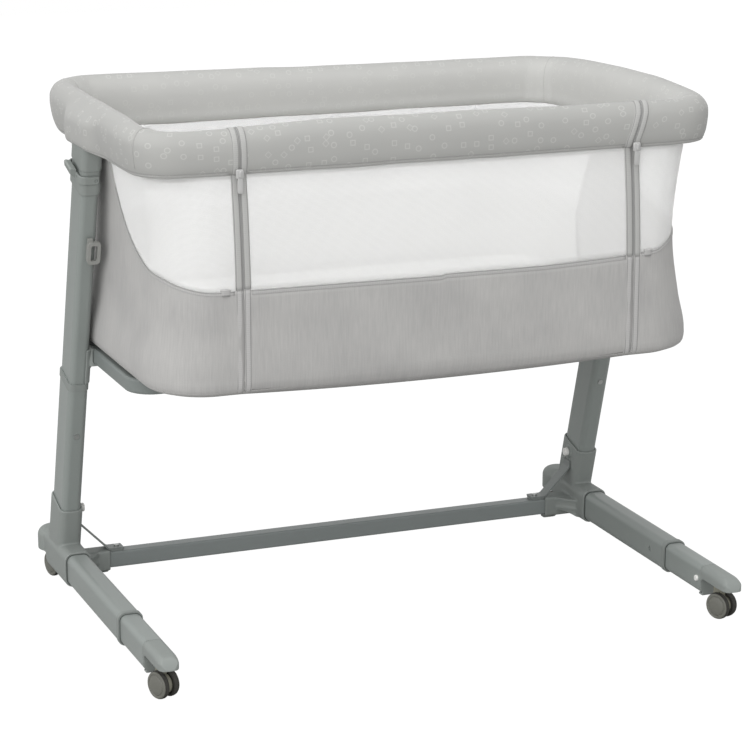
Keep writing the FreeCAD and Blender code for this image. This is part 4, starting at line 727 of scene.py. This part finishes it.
# sewn bands: width, height, and how far above its own line each lies
wallTrim = {
    "frontBinding": (0.0056, 0.0012, -0.0028), "frontThread": (0.0014, 0.0010, 0.0002),
    "sideBinding": (0.0046, 0.0011, -0.0024), "sideThread": (0.0013, 0.0010, 0.0002),
    "hem": (0.0070, 0.0007, 0.0040),
    # the seam bands stop this far from the zip, and the zip this far above the floor
    "seamEnd": 0.012, "zipFoot": 0.001,
    # webbing tab beside each zip: width, place of its edge, then lower end, upper end and height of its parts
    "tabWidth": 0.0150, "tabEdge": 0.0178,
    "tabParts": (("", "binding", 0.5335, 0.5415, 6, 0.0026), ("Edge", "thread", 0.5322, 0.5336, 3, 0.0022)),
}


def pathOf(walk, climb):
    return np.stack(np.broadcast_arrays(walk, climb), 1)


def makeWallTrim():
    low, top, foot = shell["meshLow"], shell["meshTop"], shell["floor"] + wallTrim["zipFoot"]
    start = zips["place"] + zips["gap"] / 2
    inner, outer = start - wallTrim["seamEnd"], start + wallTrim["seamEnd"]
    steep, crest = alongAtEnd(shell["steepY"]), alongAtEnd(shell["seamY"][-1])
    along = np.linspace(-inner, inner, 90)
    sideWalk = np.concatenate([np.arange(outer, steep, 0.006), np.arange(steep, crest, 0.0015)])
    # folded binding under the seam, and the sunken thread line on top of it
    for part in ("Binding", "Thread"):
        width, height, above = wallTrim["front" + part]
        ridge("frontSeam" + part, shellPoint, pathOf(along, seamHeight(along) + above), (0, 1), width, height,
              part.lower())
    for name, side in sideList:
        path = pathOf(sideWalk * side, seamHeight(sideWalk * side))
        slope = np.gradient(path[:, 1], path[:, 0])
        # square to the seam
        aside = np.stack([-slope, np.ones_like(slope)], 1)
        aside = aside / np.linalg.norm(aside, axis=1)[:, None]
        for part in ("Binding", "Thread"):
            width, height, above = wallTrim["side" + part]
            ridge(name + "Seam" + part, shellPoint, path + aside * above, aside, width, height, part.lower(),
                  columns=7)
    # stitched hem round the foot of the walls
    around = np.linspace(-wallLength / 2, wallLength / 2, 420)
    width, height, above = wallTrim["hem"]
    ridge("wallHem", shellPoint, pathOf(around, lowerEdge(around) + above), (0, 1), width, height, "panel")
    for name, side in sideList:
        for part, away, lowZ, highZ, proud, finish, *ownership in (
                ("Fixed", 1, low, top, "bandProud", "tape", "bassinet", "tape_fabric", ["zip_tapes"]),
                ("Moving", -1, low + wallTrim["zipFoot"], top, "bandProud", "tape", "drop_side", "tape_fabric",
                 ["drop_zip_tapes"]),
                ("LowOuter", 1, foot, low, "lowProud", "band"), ("LowInner", -1, foot, low, "lowProud", "band")):
            walk = side * (zips["place"] + away * zips["bandMiddle"])
            ridge(name + "ZipBand" + part, shellPoint, pathOf(walk, np.linspace(lowZ, highZ, 30)), (1, 0),
                  zips["bandWidth"], zips[proud], finish, *ownership)
        ridge(name + "ZipCoil", shellPoint, pathOf(side * zips["place"], np.linspace(foot, top, 60)), (1, 0),
              zips["coilWidth"], zips["coilProud"], "coil", "bassinet", "tape_fabric")
        # folded webbing tab over the seam, which it follows down
        x = zips["place"] + wallTrim["tabEdge"]
        hung = float(seamHeight(np.array([side * x]))[0]) - low
        for part, finish, lowZ, highZ, rows, height in wallTrim["tabParts"]:
            z = np.linspace(lowZ, highZ, rows) + hung
            ridge(name + "WebbingTab" + part, shellPoint, pathOf(side * (x + wallTrim["tabWidth"] / 2), z), (1, 0),
                  wallTrim["tabWidth"], height, finish, "bassinet", "tape_fabric", () if part else ["zip_tapes"])


makeWalls()
makeWallTrim()
print("walls made")


# ---- the padded rail
railCover = {
    "halfX": 0.428, "halfY": 0.268, "corner": 0.078, "step": 0.006, "ringPoints": 52, "swell": 0.0012,
    # ring of the sleeve's section: how far outside the outer face, and height; starts under the outer hem
    "section": [(-0.0060, 0.6885), (-0.0030, 0.6925), (-0.0008, 0.7000), (0.0000, 0.7120), (-0.0008, 0.7260),
                (-0.0042, 0.7390), (-0.0115, 0.7485), (-0.0210, 0.7520), (-0.0305, 0.7485), (-0.0378, 0.7390),
                (-0.0412, 0.7260), (-0.0420, 0.7120), (-0.0412, 0.6960), (-0.0395, 0.6800), (-0.0370, 0.6768),
                (-0.0345, 0.6800), (-0.0310, 0.6870), (-0.0200, 0.6895)],
    # over each hub the sleeve bulges out and its hem lifts: place along Y, reach, how far out and up
    "hubY": 0.031, "hubFlat": 0.040, "hubReach": 0.085, "hubOut": 0.0125, "hubHem": 0.6950,
    # how far the sleeve stands out on the bed's ends at each height: it tapers down to its hem
    "taperHigh": [0.686, 0.700, 0.722, 0.735, 0.754], "taperOut": [-0.0055, -0.0030, 0.0010, 0.0030, 0.0020],
    "rearCorner": -0.0135, "rearReach": 0.120, "frontCorner": 0.0070,
    # the left end draws in towards the back
    "tuckY": 0.050, "tuckReach": 0.150, "tuck": 0.0030, "tuckX": 0.2, "tuckSpan": 0.15,
    # where the outer half, the bed's ends, the crown and its lift begin, and over how far the first and last blend
    "outerFrom": -0.030, "outerSpan": 0.012, "endFrom": 0.37, "crownHigh": 0.750, "crownSpan": 0.024,
    "liftFrom": 0.692, "liftSpan": 0.050, "hemSquash": 0.4,
    # spots on the section: both ends of the line through the tube, and those that the leaning zip passes
    "tubeSpots": [(0.0, 0.7120), (-0.0420, 0.7120)],
    "slantSpots": [(-0.0050, 0.6900), (-0.0008, 0.7000), (0.0, 0.7120), (-0.0042, 0.7390), (-0.0210, 0.7520),
                   (-0.0412, 0.7260), (-0.0370, 0.6768)],
    "slantOut": [0.0, 0.0005, 0.0045, 0.0135, 0.0180, 0.0190, 0.0190, 0.0],
    "tubeHigh": 0.7200, "tubeRadius": 0.0108, "tubeShort": 0.004,
    # the crown isn't quite level: length walked from the front's middle, and how far it lies up or down
    "crownWalk": [0.0, 0.47, 0.55, 0.67, 0.74, 0.81, 0.90, 0.975, 1.325, 1.425, 1.525, 2.18, 2.26, 2.33, 2.40,
                  2.47, 2.65],
    "crownLift": [0.0, 0.001, 0.006, 0.006, 0.003, 0.0, -0.004, -0.005, -0.0035, -0.0015, 0.0, 0.0, -0.004, -0.0055,
                  -0.0025, 0.0, 0.0],
    "seams": [0.436, 0.430],
}
railRing, railAround = smoothLoop(railCover["section"], 240)
railTurns = np.linspace(0, railAround, len(railRing))
railStops = roundedOutline(np.zeros(1), railCover["halfX"], railCover["halfY"], railCover["corner"], 0.0)[4]
railSlope = np.gradient(railRing, axis=0)
railSlope = railSlope / np.linalg.norm(railSlope, axis=1)[:, None]


def railPoint(walk, turn, lift=0.0):
    # walk goes round the bed, turn goes round the sleeve's section, lift stands out from the cloth
    turned = np.mod(turn, railAround)
    out = np.interp(turned, railTurns, railRing[:, 0])
    high = np.interp(turned, railTurns, railRing[:, 1])
    # the section is walked anticlockwise seen with its outside to the right, so the cloth faces right of it
    slopeOut = np.interp(turned, railTurns, railSlope[:, 0])
    slopeHigh = np.interp(turned, railTurns, railSlope[:, 1])
    swell = railCover["swell"] * softNoise(walk, turned * 0.8, 51, 9, 0.12)
    out = out + slopeHigh * (swell + lift)
    high = high - slopeOut * (swell + lift)
    x, y, nx, ny, stops = roundedOutline(walk, railCover["halfX"], railCover["halfY"], railCover["corner"],
                                         shell["middleY"])
    outer = np.clip((out - railCover["outerFrom"]) / railCover["outerSpan"], 0, 1)
    # bulge over the hubs: a flat-topped bump along the bed's ends, strongest at the outer hem
    near = np.clip((railCover["hubReach"] - np.abs(y - railCover["hubY"]))
                   / (railCover["hubReach"] - railCover["hubFlat"]), 0, 1) * (np.abs(x) > railCover["endFrom"])
    near = near * near * (3 - 2 * near)
    # the ends taper towards the hem; the rear corners are rounder than the front ones
    taper = np.interp(high, railCover["taperHigh"], railCover["taperOut"])
    out = out + nx * nx * outer * taper * (1 - near)
    out = out + railCover["rearCorner"] * rearBump(walk, railStops, railCover["rearReach"])
    out = out + 4 * (nx * ny) ** 2 * (ny < 0) * railCover["frontCorner"] * outer
    lowness = np.clip((railCover["crownHigh"] - high) / railCover["crownSpan"], 0, 1)
    out = out + railCover["hubOut"] * near * lowness * lowness * (3 - 2 * lowness) * outer
    hem = railCover["section"][0][1]
    lifted = np.maximum(high, railCover["hubHem"] + (high - hem) * railCover["hemSquash"])
    high = high + (lifted - high) * near * outer
    back = np.clip((y - railCover["tuckY"]) / railCover["tuckReach"], 0, 1)
    x = x + railCover["tuck"] * back * back * (3 - 2 * back) * np.clip(
        (-x - railCover["tuckX"]) / railCover["tuckSpan"], 0, 1)
    level = smoothThrough(railCover["crownWalk"], railCover["crownLift"], np.mod(walk, railStops[-1]))
    high = high + level * np.clip((high - railCover["liftFrom"]) / railCover["liftSpan"], 0, 1)
    return np.stack([x + nx * out, y + ny * out, high], -1)


def zipSlant(turn):
    # the right zip leans outwards as it climbs over the rail
    return np.interp(turn, railCover["slantTurn"], railCover["slantOut"])


def sweepRail(name, start, end, slantStart, slantEnd):
    # rows walk round the bed, columns go round the section; the end at the right zip leans as the zip does
    rows = int((end - start) / railCover["step"])
    walk, turn = np.meshgrid(np.linspace(start, end, rows + 1),
                             np.linspace(0, railAround, railCover["ringPoints"], endpoint=False), indexing="ij")
    way = np.linspace(0, 1, rows + 1)[:, None]
    walk = walk + zipSlant(turn) * (slantStart * (1 - way) ** 8 + slantEnd * way ** 8)
    uvWalk, uvTurn = np.meshgrid(np.linspace(start, end, rows + 1),
                                 np.linspace(0, railAround, railCover["ringPoints"] + 1), indexing="ij")
    piece = gridPiece(name, railPoint(walk, turn), np.stack([uvWalk, uvTurn], -1), wrapColumns=True, closeEnds=True)
    return pointOutwards(piece)


def sweepTube(name, start, end):
    # the steel tube lies in the middle of the sleeve's section
    rows = int((end - start) / railCover["step"])
    walk = np.linspace(start, end, rows + 1)
    outer, inner = (railPoint(walk, np.full_like(walk, turnAt(*spot))) for spot in railCover["tubeSpots"])
    middle = (outer + inner) / 2
    middle[:, 2] = railCover["tubeHigh"]
    across = (outer - inner) * np.array([1.0, 1.0, 0.0])
    across = across / np.linalg.norm(across, axis=1)[:, None]
    ring = np.linspace(0, math.tau, 20, endpoint=False)
    points = middle[:, None, :] + railCover["tubeRadius"] * (
        across[:, None, :] * np.cos(ring)[None, :, None] + np.array([0, 0, 1.0]) * np.sin(ring)[None, :, None])
    return pointOutwards(gridPiece(name, points, None, wrapColumns=True, closeEnds=True))


def turnAt(out, high):
    return float(railTurns[np.argmin(np.hypot(railRing[:, 0] - out, railRing[:, 1] - high))])


railCover["slantTurn"] = [turnAt(*spot) for spot in railCover["slantSpots"]] + [railAround]


# bands sewn on the rail: spot on the section that each follows, width, height, finish, corners across
railTrim = {
    "Stitch": ((-0.0025, 0.6940), 0.0011, 0.0003, "thread", 5), "Hem": ((-0.0040, 0.6905), 0.0042, 0.0009, "hem", 7),
    "step": 0.007, "end": 0.013,
    # cross seams: from the outer hem over the crown to the inner face
    "seamFrom": (-0.0008, 0.7000), "seamTo": (-0.0400, 0.6800), "seamWidth": 0.0014, "seamHeight": 0.0003,
    "zipFrom": (-0.0050, 0.6900), "zipTo": (-0.0410, 0.7250),
}


def makeRail():
    edge = zips["place"] + zips["gap"] / 2
    whole = railStops[-1]
    piece = sweepRail("railCover", edge, whole - edge, 1, 0)
    finishPiece(piece, "rail", "bassinet", ["rail_cover"])
    tube = sweepTube("railTube", edge + railCover["tubeShort"], whole - edge - railCover["tubeShort"])
    finishPiece(tube, "frame", "bassinet", ["rail_tube"])
    edge = zips["place"] - zips["gap"] / 2
    piece = sweepRail("dropRailCover", -edge, edge, 0, 1)
    finishPiece(piece, "rail", "drop_side", ["front_rail_cover"])
    # stitch line above the folded hem
    near, far = zips["place"] - railTrim["end"], zips["place"] + railTrim["end"]
    for part, start, end, body in (("", far, whole - far, "bassinet"), ("Drop", -near, near, "drop_side")):
        walk = np.linspace(start, end, int((end - start) / railTrim["step"]))
        for kind in ("Stitch", "Hem"):
            spot, width, height, finish, columns = railTrim[kind]
            ridge("rail" + kind + part, railPoint, pathOf(walk, turnAt(*spot)), (0, 1), width, height, finish, body,
                  "rail_fabric", columns=columns)
    # cross seams of the rear rail and beside the front corners
    turn = np.linspace(turnAt(*railTrim["seamFrom"]), turnAt(*railTrim["seamTo"]), 60)
    for name, side in sideList:
        for part, walk in (("Rear", whole / 2 - side * railCover["seams"][0]),
                           ("Front", side * railCover["seams"][1])):
            ridge(name + part + "RailSeam", railPoint, pathOf(walk, turn), (1, 0), railTrim["seamWidth"],
                  railTrim["seamHeight"], "hem", "bassinet", "rail_fabric", columns=5)
    # the zip over the rail: two raised bands and the coil between them
    turn = np.linspace(turnAt(*railTrim["zipFrom"]), turnAt(*railTrim["zipTo"]), 50)
    for name, side in sideList:
        bow = zipSlant(turn) * (side > 0)
        for part, away, body, node in (("Fixed", 1, "bassinet", "zip_tapes"),
                                       ("Moving", -1, "drop_side", "drop_zip_tapes")):
            middle = side * (zips["place"] + away * zips["bandMiddle"])
            ridge(name + "RailBand" + part, railPoint, pathOf(middle + bow, turn), (1, 0), zips["bandWidth"],
                  zips["bandProud"], "tape", body, "tape_fabric", [node])
        ridge(name + "RailCoil", railPoint, pathOf(side * zips["place"] + bow, turn), (1, 0), zips["coilWidth"],
              zips["coilProud"], "coil", "bassinet", "tape_fabric")


makeRail()
print("rail made")


# ---- zip sliders and pulls
sliderShape = {
    "place": {"left": -0.2885, "right": 0.2905}, "depth": -0.2288, "high": 0.6905,
    "body": (0.0104, 0.0050, 0.0125), "bridge": (0.0036, 0.0040, 0.0090), "pull": (0.0076, 0.0018, 0.0200),
    "pullTop": 0.6850, "inset": (0.0046, 0.0008, 0.0110),
}


def pebble(name, centre, size, square, node):
    # superellipsoid: sine and cosine raised to 2 / square, so a larger number gives a boxier shape
    def part(value):
        return np.sign(value) * np.abs(value) ** (2 / square)
    tilt, turn = np.meshgrid(np.linspace(-math.pi / 2, math.pi / 2, 17), np.linspace(0, math.tau, 32, endpoint=False),
                             indexing="ij")
    ball = np.stack([part(np.cos(tilt)) * part(np.cos(turn)), part(np.sin(tilt)),
                     part(np.cos(tilt)) * part(np.sin(turn))], -1)
    piece = pointOutwards(gridPiece(name, np.array(centre) + ball * np.array(size) / 2, None, wrapColumns=True))
    finishPiece(piece, "zip", node, [node])


def makeSliders():
    depth, high, top = sliderShape["depth"], sliderShape["high"], sliderShape["pullTop"]
    for name, side in sideList:
        x = sliderShape["place"][name]
        slider, pull = "zip_slider_" + name, "zip_pull_" + name
        pebble(name + "Slider", (x, depth, high), sliderShape["body"], 5.0, slider)
        pebble(name + "SliderBridge", (x, depth - 0.0026, high), sliderShape["bridge"], 4.0, slider)
        middle = top - sliderShape["pull"][2] / 2
        pebble(name + "Pull", (x, depth - 0.0018, middle), sliderShape["pull"], 5.0, pull)
        pebble(name + "PullInset", (x, depth - 0.0026, middle - 0.002), sliderShape["inset"], 5.0, pull)


makeSliders()
print("sliders made")


# ---- floor cloth and mattress
mattressShape = {
    "halfX": 0.3835, "halfY": 0.2580, "corner": 0.069,
    # height and how far the side stands in, from the lower edge to the piping and over the crown
    "side": [(0.4033, 0.0130), (0.4036, 0.0060), (0.4060, 0.0015), (0.4110, 0.0000), (0.4180, -0.0004),
             (0.4245, 0.0000), (0.4280, 0.0012), (0.4302, 0.0040), (0.4314, 0.0085)],
    "crown": 0.0022, "quilt": 0.0009, "diamond": 0.042,
}


floorShape = {"high": 0.3932, "halfX": 0.3925, "halfY": 0.2632, "corner": 0.073}


def outlineRings(sideRings, z, crown, halfX, halfY, corner, count, inner, wave=None):
    # rings round the bed's outline: the given side rings, then ever smaller copies that close over the middle
    walk = np.linspace(0, 1, count, endpoint=False)
    rings = []
    for height, inset in sideRings:
        shape = (halfX - inset, halfY - inset, max(corner - inset, 0.02), 0.0)
        length = roundedOutline(np.zeros(1), *shape)[4][-1]
        x, y = roundedOutline(walk * length, *shape)[:2]
        rings.append(np.stack([x, y, np.full_like(x, height)], -1))
    last = rings[-1]
    for share in np.linspace(0, 1, inner)[1:]:
        keep = 1 - share
        ring = last * np.array([keep, keep, 1.0])
        ring[:, 2] = z + crown * math.sin(share * math.pi / 2)
        if wave is not None:
            ring[:, 2] += wave(ring[:, 0], ring[:, 1]) * min(share * 4, 1)
        rings.append(ring)
    points = np.stack(rings)
    points[..., 1] += shell["middleY"]
    return points


def ringPiece(name, points):
    # the map of the cloth is its plan, with the first point of each ring repeated at its end
    plan = np.concatenate([points, points[:, :1]], 1)[..., :2]
    return pointOutwards(gridPiece(name, points, plan, wrapColumns=True))


def quilt(x, y):
    # folded diamonds: |sin| of both diagonals, deep at the lines between them
    pace = math.pi / mattressShape["diamond"]
    first, second = (np.abs(np.sin(along * pace)) for along in (x + y, x - y))
    return mattressShape["quilt"] * (np.minimum(first, second) ** 0.5 - 1)


def makeBed():
    side = mattressShape["side"]
    top = outlineRings(side, side[-1][0], mattressShape["crown"], mattressShape["halfX"],
                       mattressShape["halfY"], mattressShape["corner"], 420, 60, quilt)
    middle = np.array([0, shell["middleY"], 0])
    below = np.concatenate([(top[:1] - middle) * np.array([k, k, 1.0]) + middle for k in (0.0, 0.5)])
    points = np.concatenate([below, top])
    points[0, :, 2] = side[0][0]
    piece = ringPiece("mattress", points)
    finishPiece(piece, "mattress", "bassinet", ["mattress"])
    # floor cloth: one sheet under the board, cut to the bed's outline
    high, halfX, halfY, corner = (floorShape[k] for k in ("high", "halfX", "halfY", "corner"))
    points = outlineRings([(high, 0.0), (high, 0.02)], high, 0.0, halfX, halfY, corner, 240, 16)
    piece = ringPiece("floorCloth", points)
    thicken(piece, shell["sheetThickness"])
    finishPiece(piece, "panel", "bassinet", ["floor_fabric"])


makeBed()
print("bed made")


# ---- casters: lathe-turned wheels round each axle
wheelShape = {
    "inner": 0.0042, "sides": 56, "edge": 0.0004, "edgeAngle": 25,
    # tread: along the axle from the inner face, and radius
    "tread": [(0.0000, 0.0150), (0.0000, 0.0172), (0.0009, 0.0190), (0.0024, 0.0195), (0.0052, 0.0195),
              (0.0058, 0.0187), (0.0066, 0.0187), (0.0069, 0.0192), (0.0078, 0.0184), (0.0080, 0.0150)],
    # outer disc: domed cap inside a raised rim
    "disc": [(0.0040, 0.0000), (0.0040, 0.0184), (0.0074, 0.0187), (0.0086, 0.0181), (0.0091, 0.0170),
             (0.0090, 0.0152), (0.0083, 0.0145), (0.0083, 0.0138), (0.0094, 0.0130), (0.0102, 0.0110),
             (0.0107, 0.0060), (0.0108, 0.0000)],
}


def lathePiece(name, profile, center, axis, close=True):
    # profile is (along the axis, radius); the ring is turned about the axis through the centre
    axis = np.asarray(axis, float) / np.linalg.norm(axis)
    up = np.array([0, 0, 1.0])
    aside = np.cross(axis, up)
    turns = np.linspace(0, math.tau, wheelShape["sides"], endpoint=False)
    spoke = np.cos(turns)[:, None] * up + np.sin(turns)[:, None] * aside
    points = np.array([center + axis * along + spoke * max(radius, 1e-7) for along, radius in profile])
    return pointOutwards(gridPiece(name, points, None, wrapRows=close, wrapColumns=True))


def makeWheels():
    joints = {joint["name"]: joint for joint in frame["record"]["behaviour"]["joints"]}
    for name, side in sideList:
        for place in ("front", "rear"):
            spot = place + "_" + name
            joint = joints["roll_" + spot]
            center = np.array(joint["pos_m"])
            body = "caster_wheels_" + spot
            for face, way in (("Inner", -1), ("Outer", 1)):
                axis = np.array(joint["axis"]) * way
                base = center + axis * wheelShape["inner"]
                tag = name + place.capitalize() + face
                for part in ("tread", "disc"):
                    piece = lathePiece(tag + part.capitalize(), wheelShape[part], base, axis, part == "tread")
                    softEdges(finishPiece(piece, part, body, [body]))


def softEdges(piece):
    bevel = piece.modifiers.new("edges", "BEVEL")
    bevel.width = wheelShape["edge"]
    bevel.segments = 2
    bevel.limit_method = "ANGLE"
    bevel.angle_limit = math.radians(wheelShape["edgeAngle"])


makeWheels()
print("wheels made")


# ---- mouldings: copies of the frame's own shapes with the soft edges that a mould gives
mouldNet = {"relax": 0.5, "keep": 0.45}
# node without its side: size of the net, rounds of relaxing
mouldEdges = {
    "bracket": (0.0011, 10), "end_cap": (0.0009, 6), "hub": (0.0008, 4), "height_lever": (0.0007, 5),
    "arm_bracket": (0.0009, 6),
}


# the nose of each end cap rolls down over its last stretch: length of the roll, drop and narrowing at the tip
capNose = {"reach": 0.026, "drop": 0.015, "narrow": 0.0045, "steepest": 0.98, "noseFrom": 0.2}


def rollNose(mesh):
    spots = np.empty(len(mesh.vertices) * 3)
    mesh.vertices.foreach_get("co", spots)
    spots = spots.reshape(-1, 3)
    near = np.clip((spots[:, 1].min() + capNose["reach"] - spots[:, 1]) / capNose["reach"], 0, 1)
    roll = 1 - np.sqrt(1 - near ** 2 * capNose["steepest"])
    nose = spots[near > capNose["noseFrom"]]
    low = nose[:, 2].min()
    share = np.clip((spots[:, 2] - low) / (spots[:, 2].max() - low), 0, 1)
    spots[:, 2] -= capNose["drop"] * roll * share
    middle = (nose[:, 0].min() + nose[:, 0].max()) / 2
    half = (nose[:, 0].max() - nose[:, 0].min()) / 2
    spots[:, 0] -= capNose["narrow"] * roll * (spots[:, 0] - middle) / half
    mesh.vertices.foreach_set("co", spots.ravel())


def mouldedCopy(node, size, rounds):
    # the shape refilled with a fine even net, then relaxed so that its edges become small radii
    piece = frame["nodes"][node].copy()
    piece.data = frame["nodes"][node].data.copy()
    piece.name = node + "Moulded"
    bpy.context.scene.collection.objects.link(piece)
    pointOutwards(piece)
    net = piece.modifiers.new("net", "REMESH")
    net.mode = "VOXEL"
    net.voxel_size = size
    net.use_smooth_shade = True
    relax = piece.modifiers.new("relax", "SMOOTH")
    relax.factor = mouldNet["relax"]
    relax.iterations = rounds
    thin = piece.modifiers.new("thin", "DECIMATE")
    thin.ratio = mouldNet["keep"]
    graph = bpy.context.evaluated_depsgraph_get()
    made = bpy.data.meshes.new_from_object(piece.evaluated_get(graph))
    made.name = piece.name
    piece.modifiers.clear()
    old = piece.data
    piece.data = made
    bpy.data.meshes.remove(old)
    made.polygons.foreach_set("use_smooth", np.full(len(made.polygons), True))
    if node.startswith("end_cap"):
        rollNose(made)
    finishPiece(piece, "moulding", nodeBody[node], [node])


for kind, (size, rounds) in mouldEdges.items():
    for name, side in sideList:
        mouldedCopy(kind + "_" + name, size, rounds)


# painted shade: a dark ring at the lip where a foot tube goes into its socket, standing in for the shadow in the gap
# there; the tube, and the lip's place along Y
paintedShadeLipRing = {"width": 0.0019, "proud": 0.0007, "sunk": 0.0006,
            "lips": {"foot_tube": 0.1340, "foot_extension": -0.1330}}


def makePaintedShadeLipRing(tube, lip):
    flat = [(spot.co.x, spot.co.z) for spot in frame["nodes"][tube].data.vertices]
    ring = np.array([flat[k] for k in convex_hull_2d(flat)])
    middle, half = (ring.max(0) + ring.min(0)) / 2, (ring.max(0) - ring.min(0)) / 2
    ring = middle + (ring - middle) * (1 + paintedShadeLipRing["proud"] / half)
    points = [[(x, y, z) for x, z in ring] for y in (lip - paintedShadeLipRing["width"], lip + paintedShadeLipRing["sunk"])]
    piece = gridPiece(tube + "Liner", points, None, wrapColumns=True, closeEnds=True, smooth=False)
    finishPiece(pointOutwards(piece), "paintedShadeSocketGap", nodeBody["foot_guides"])


for tube, lip in paintedShadeLipRing["lips"].items():
    for name, side in sideList:
        makePaintedShadeLipRing(tube + "_" + name, lip)
print("mouldings made")
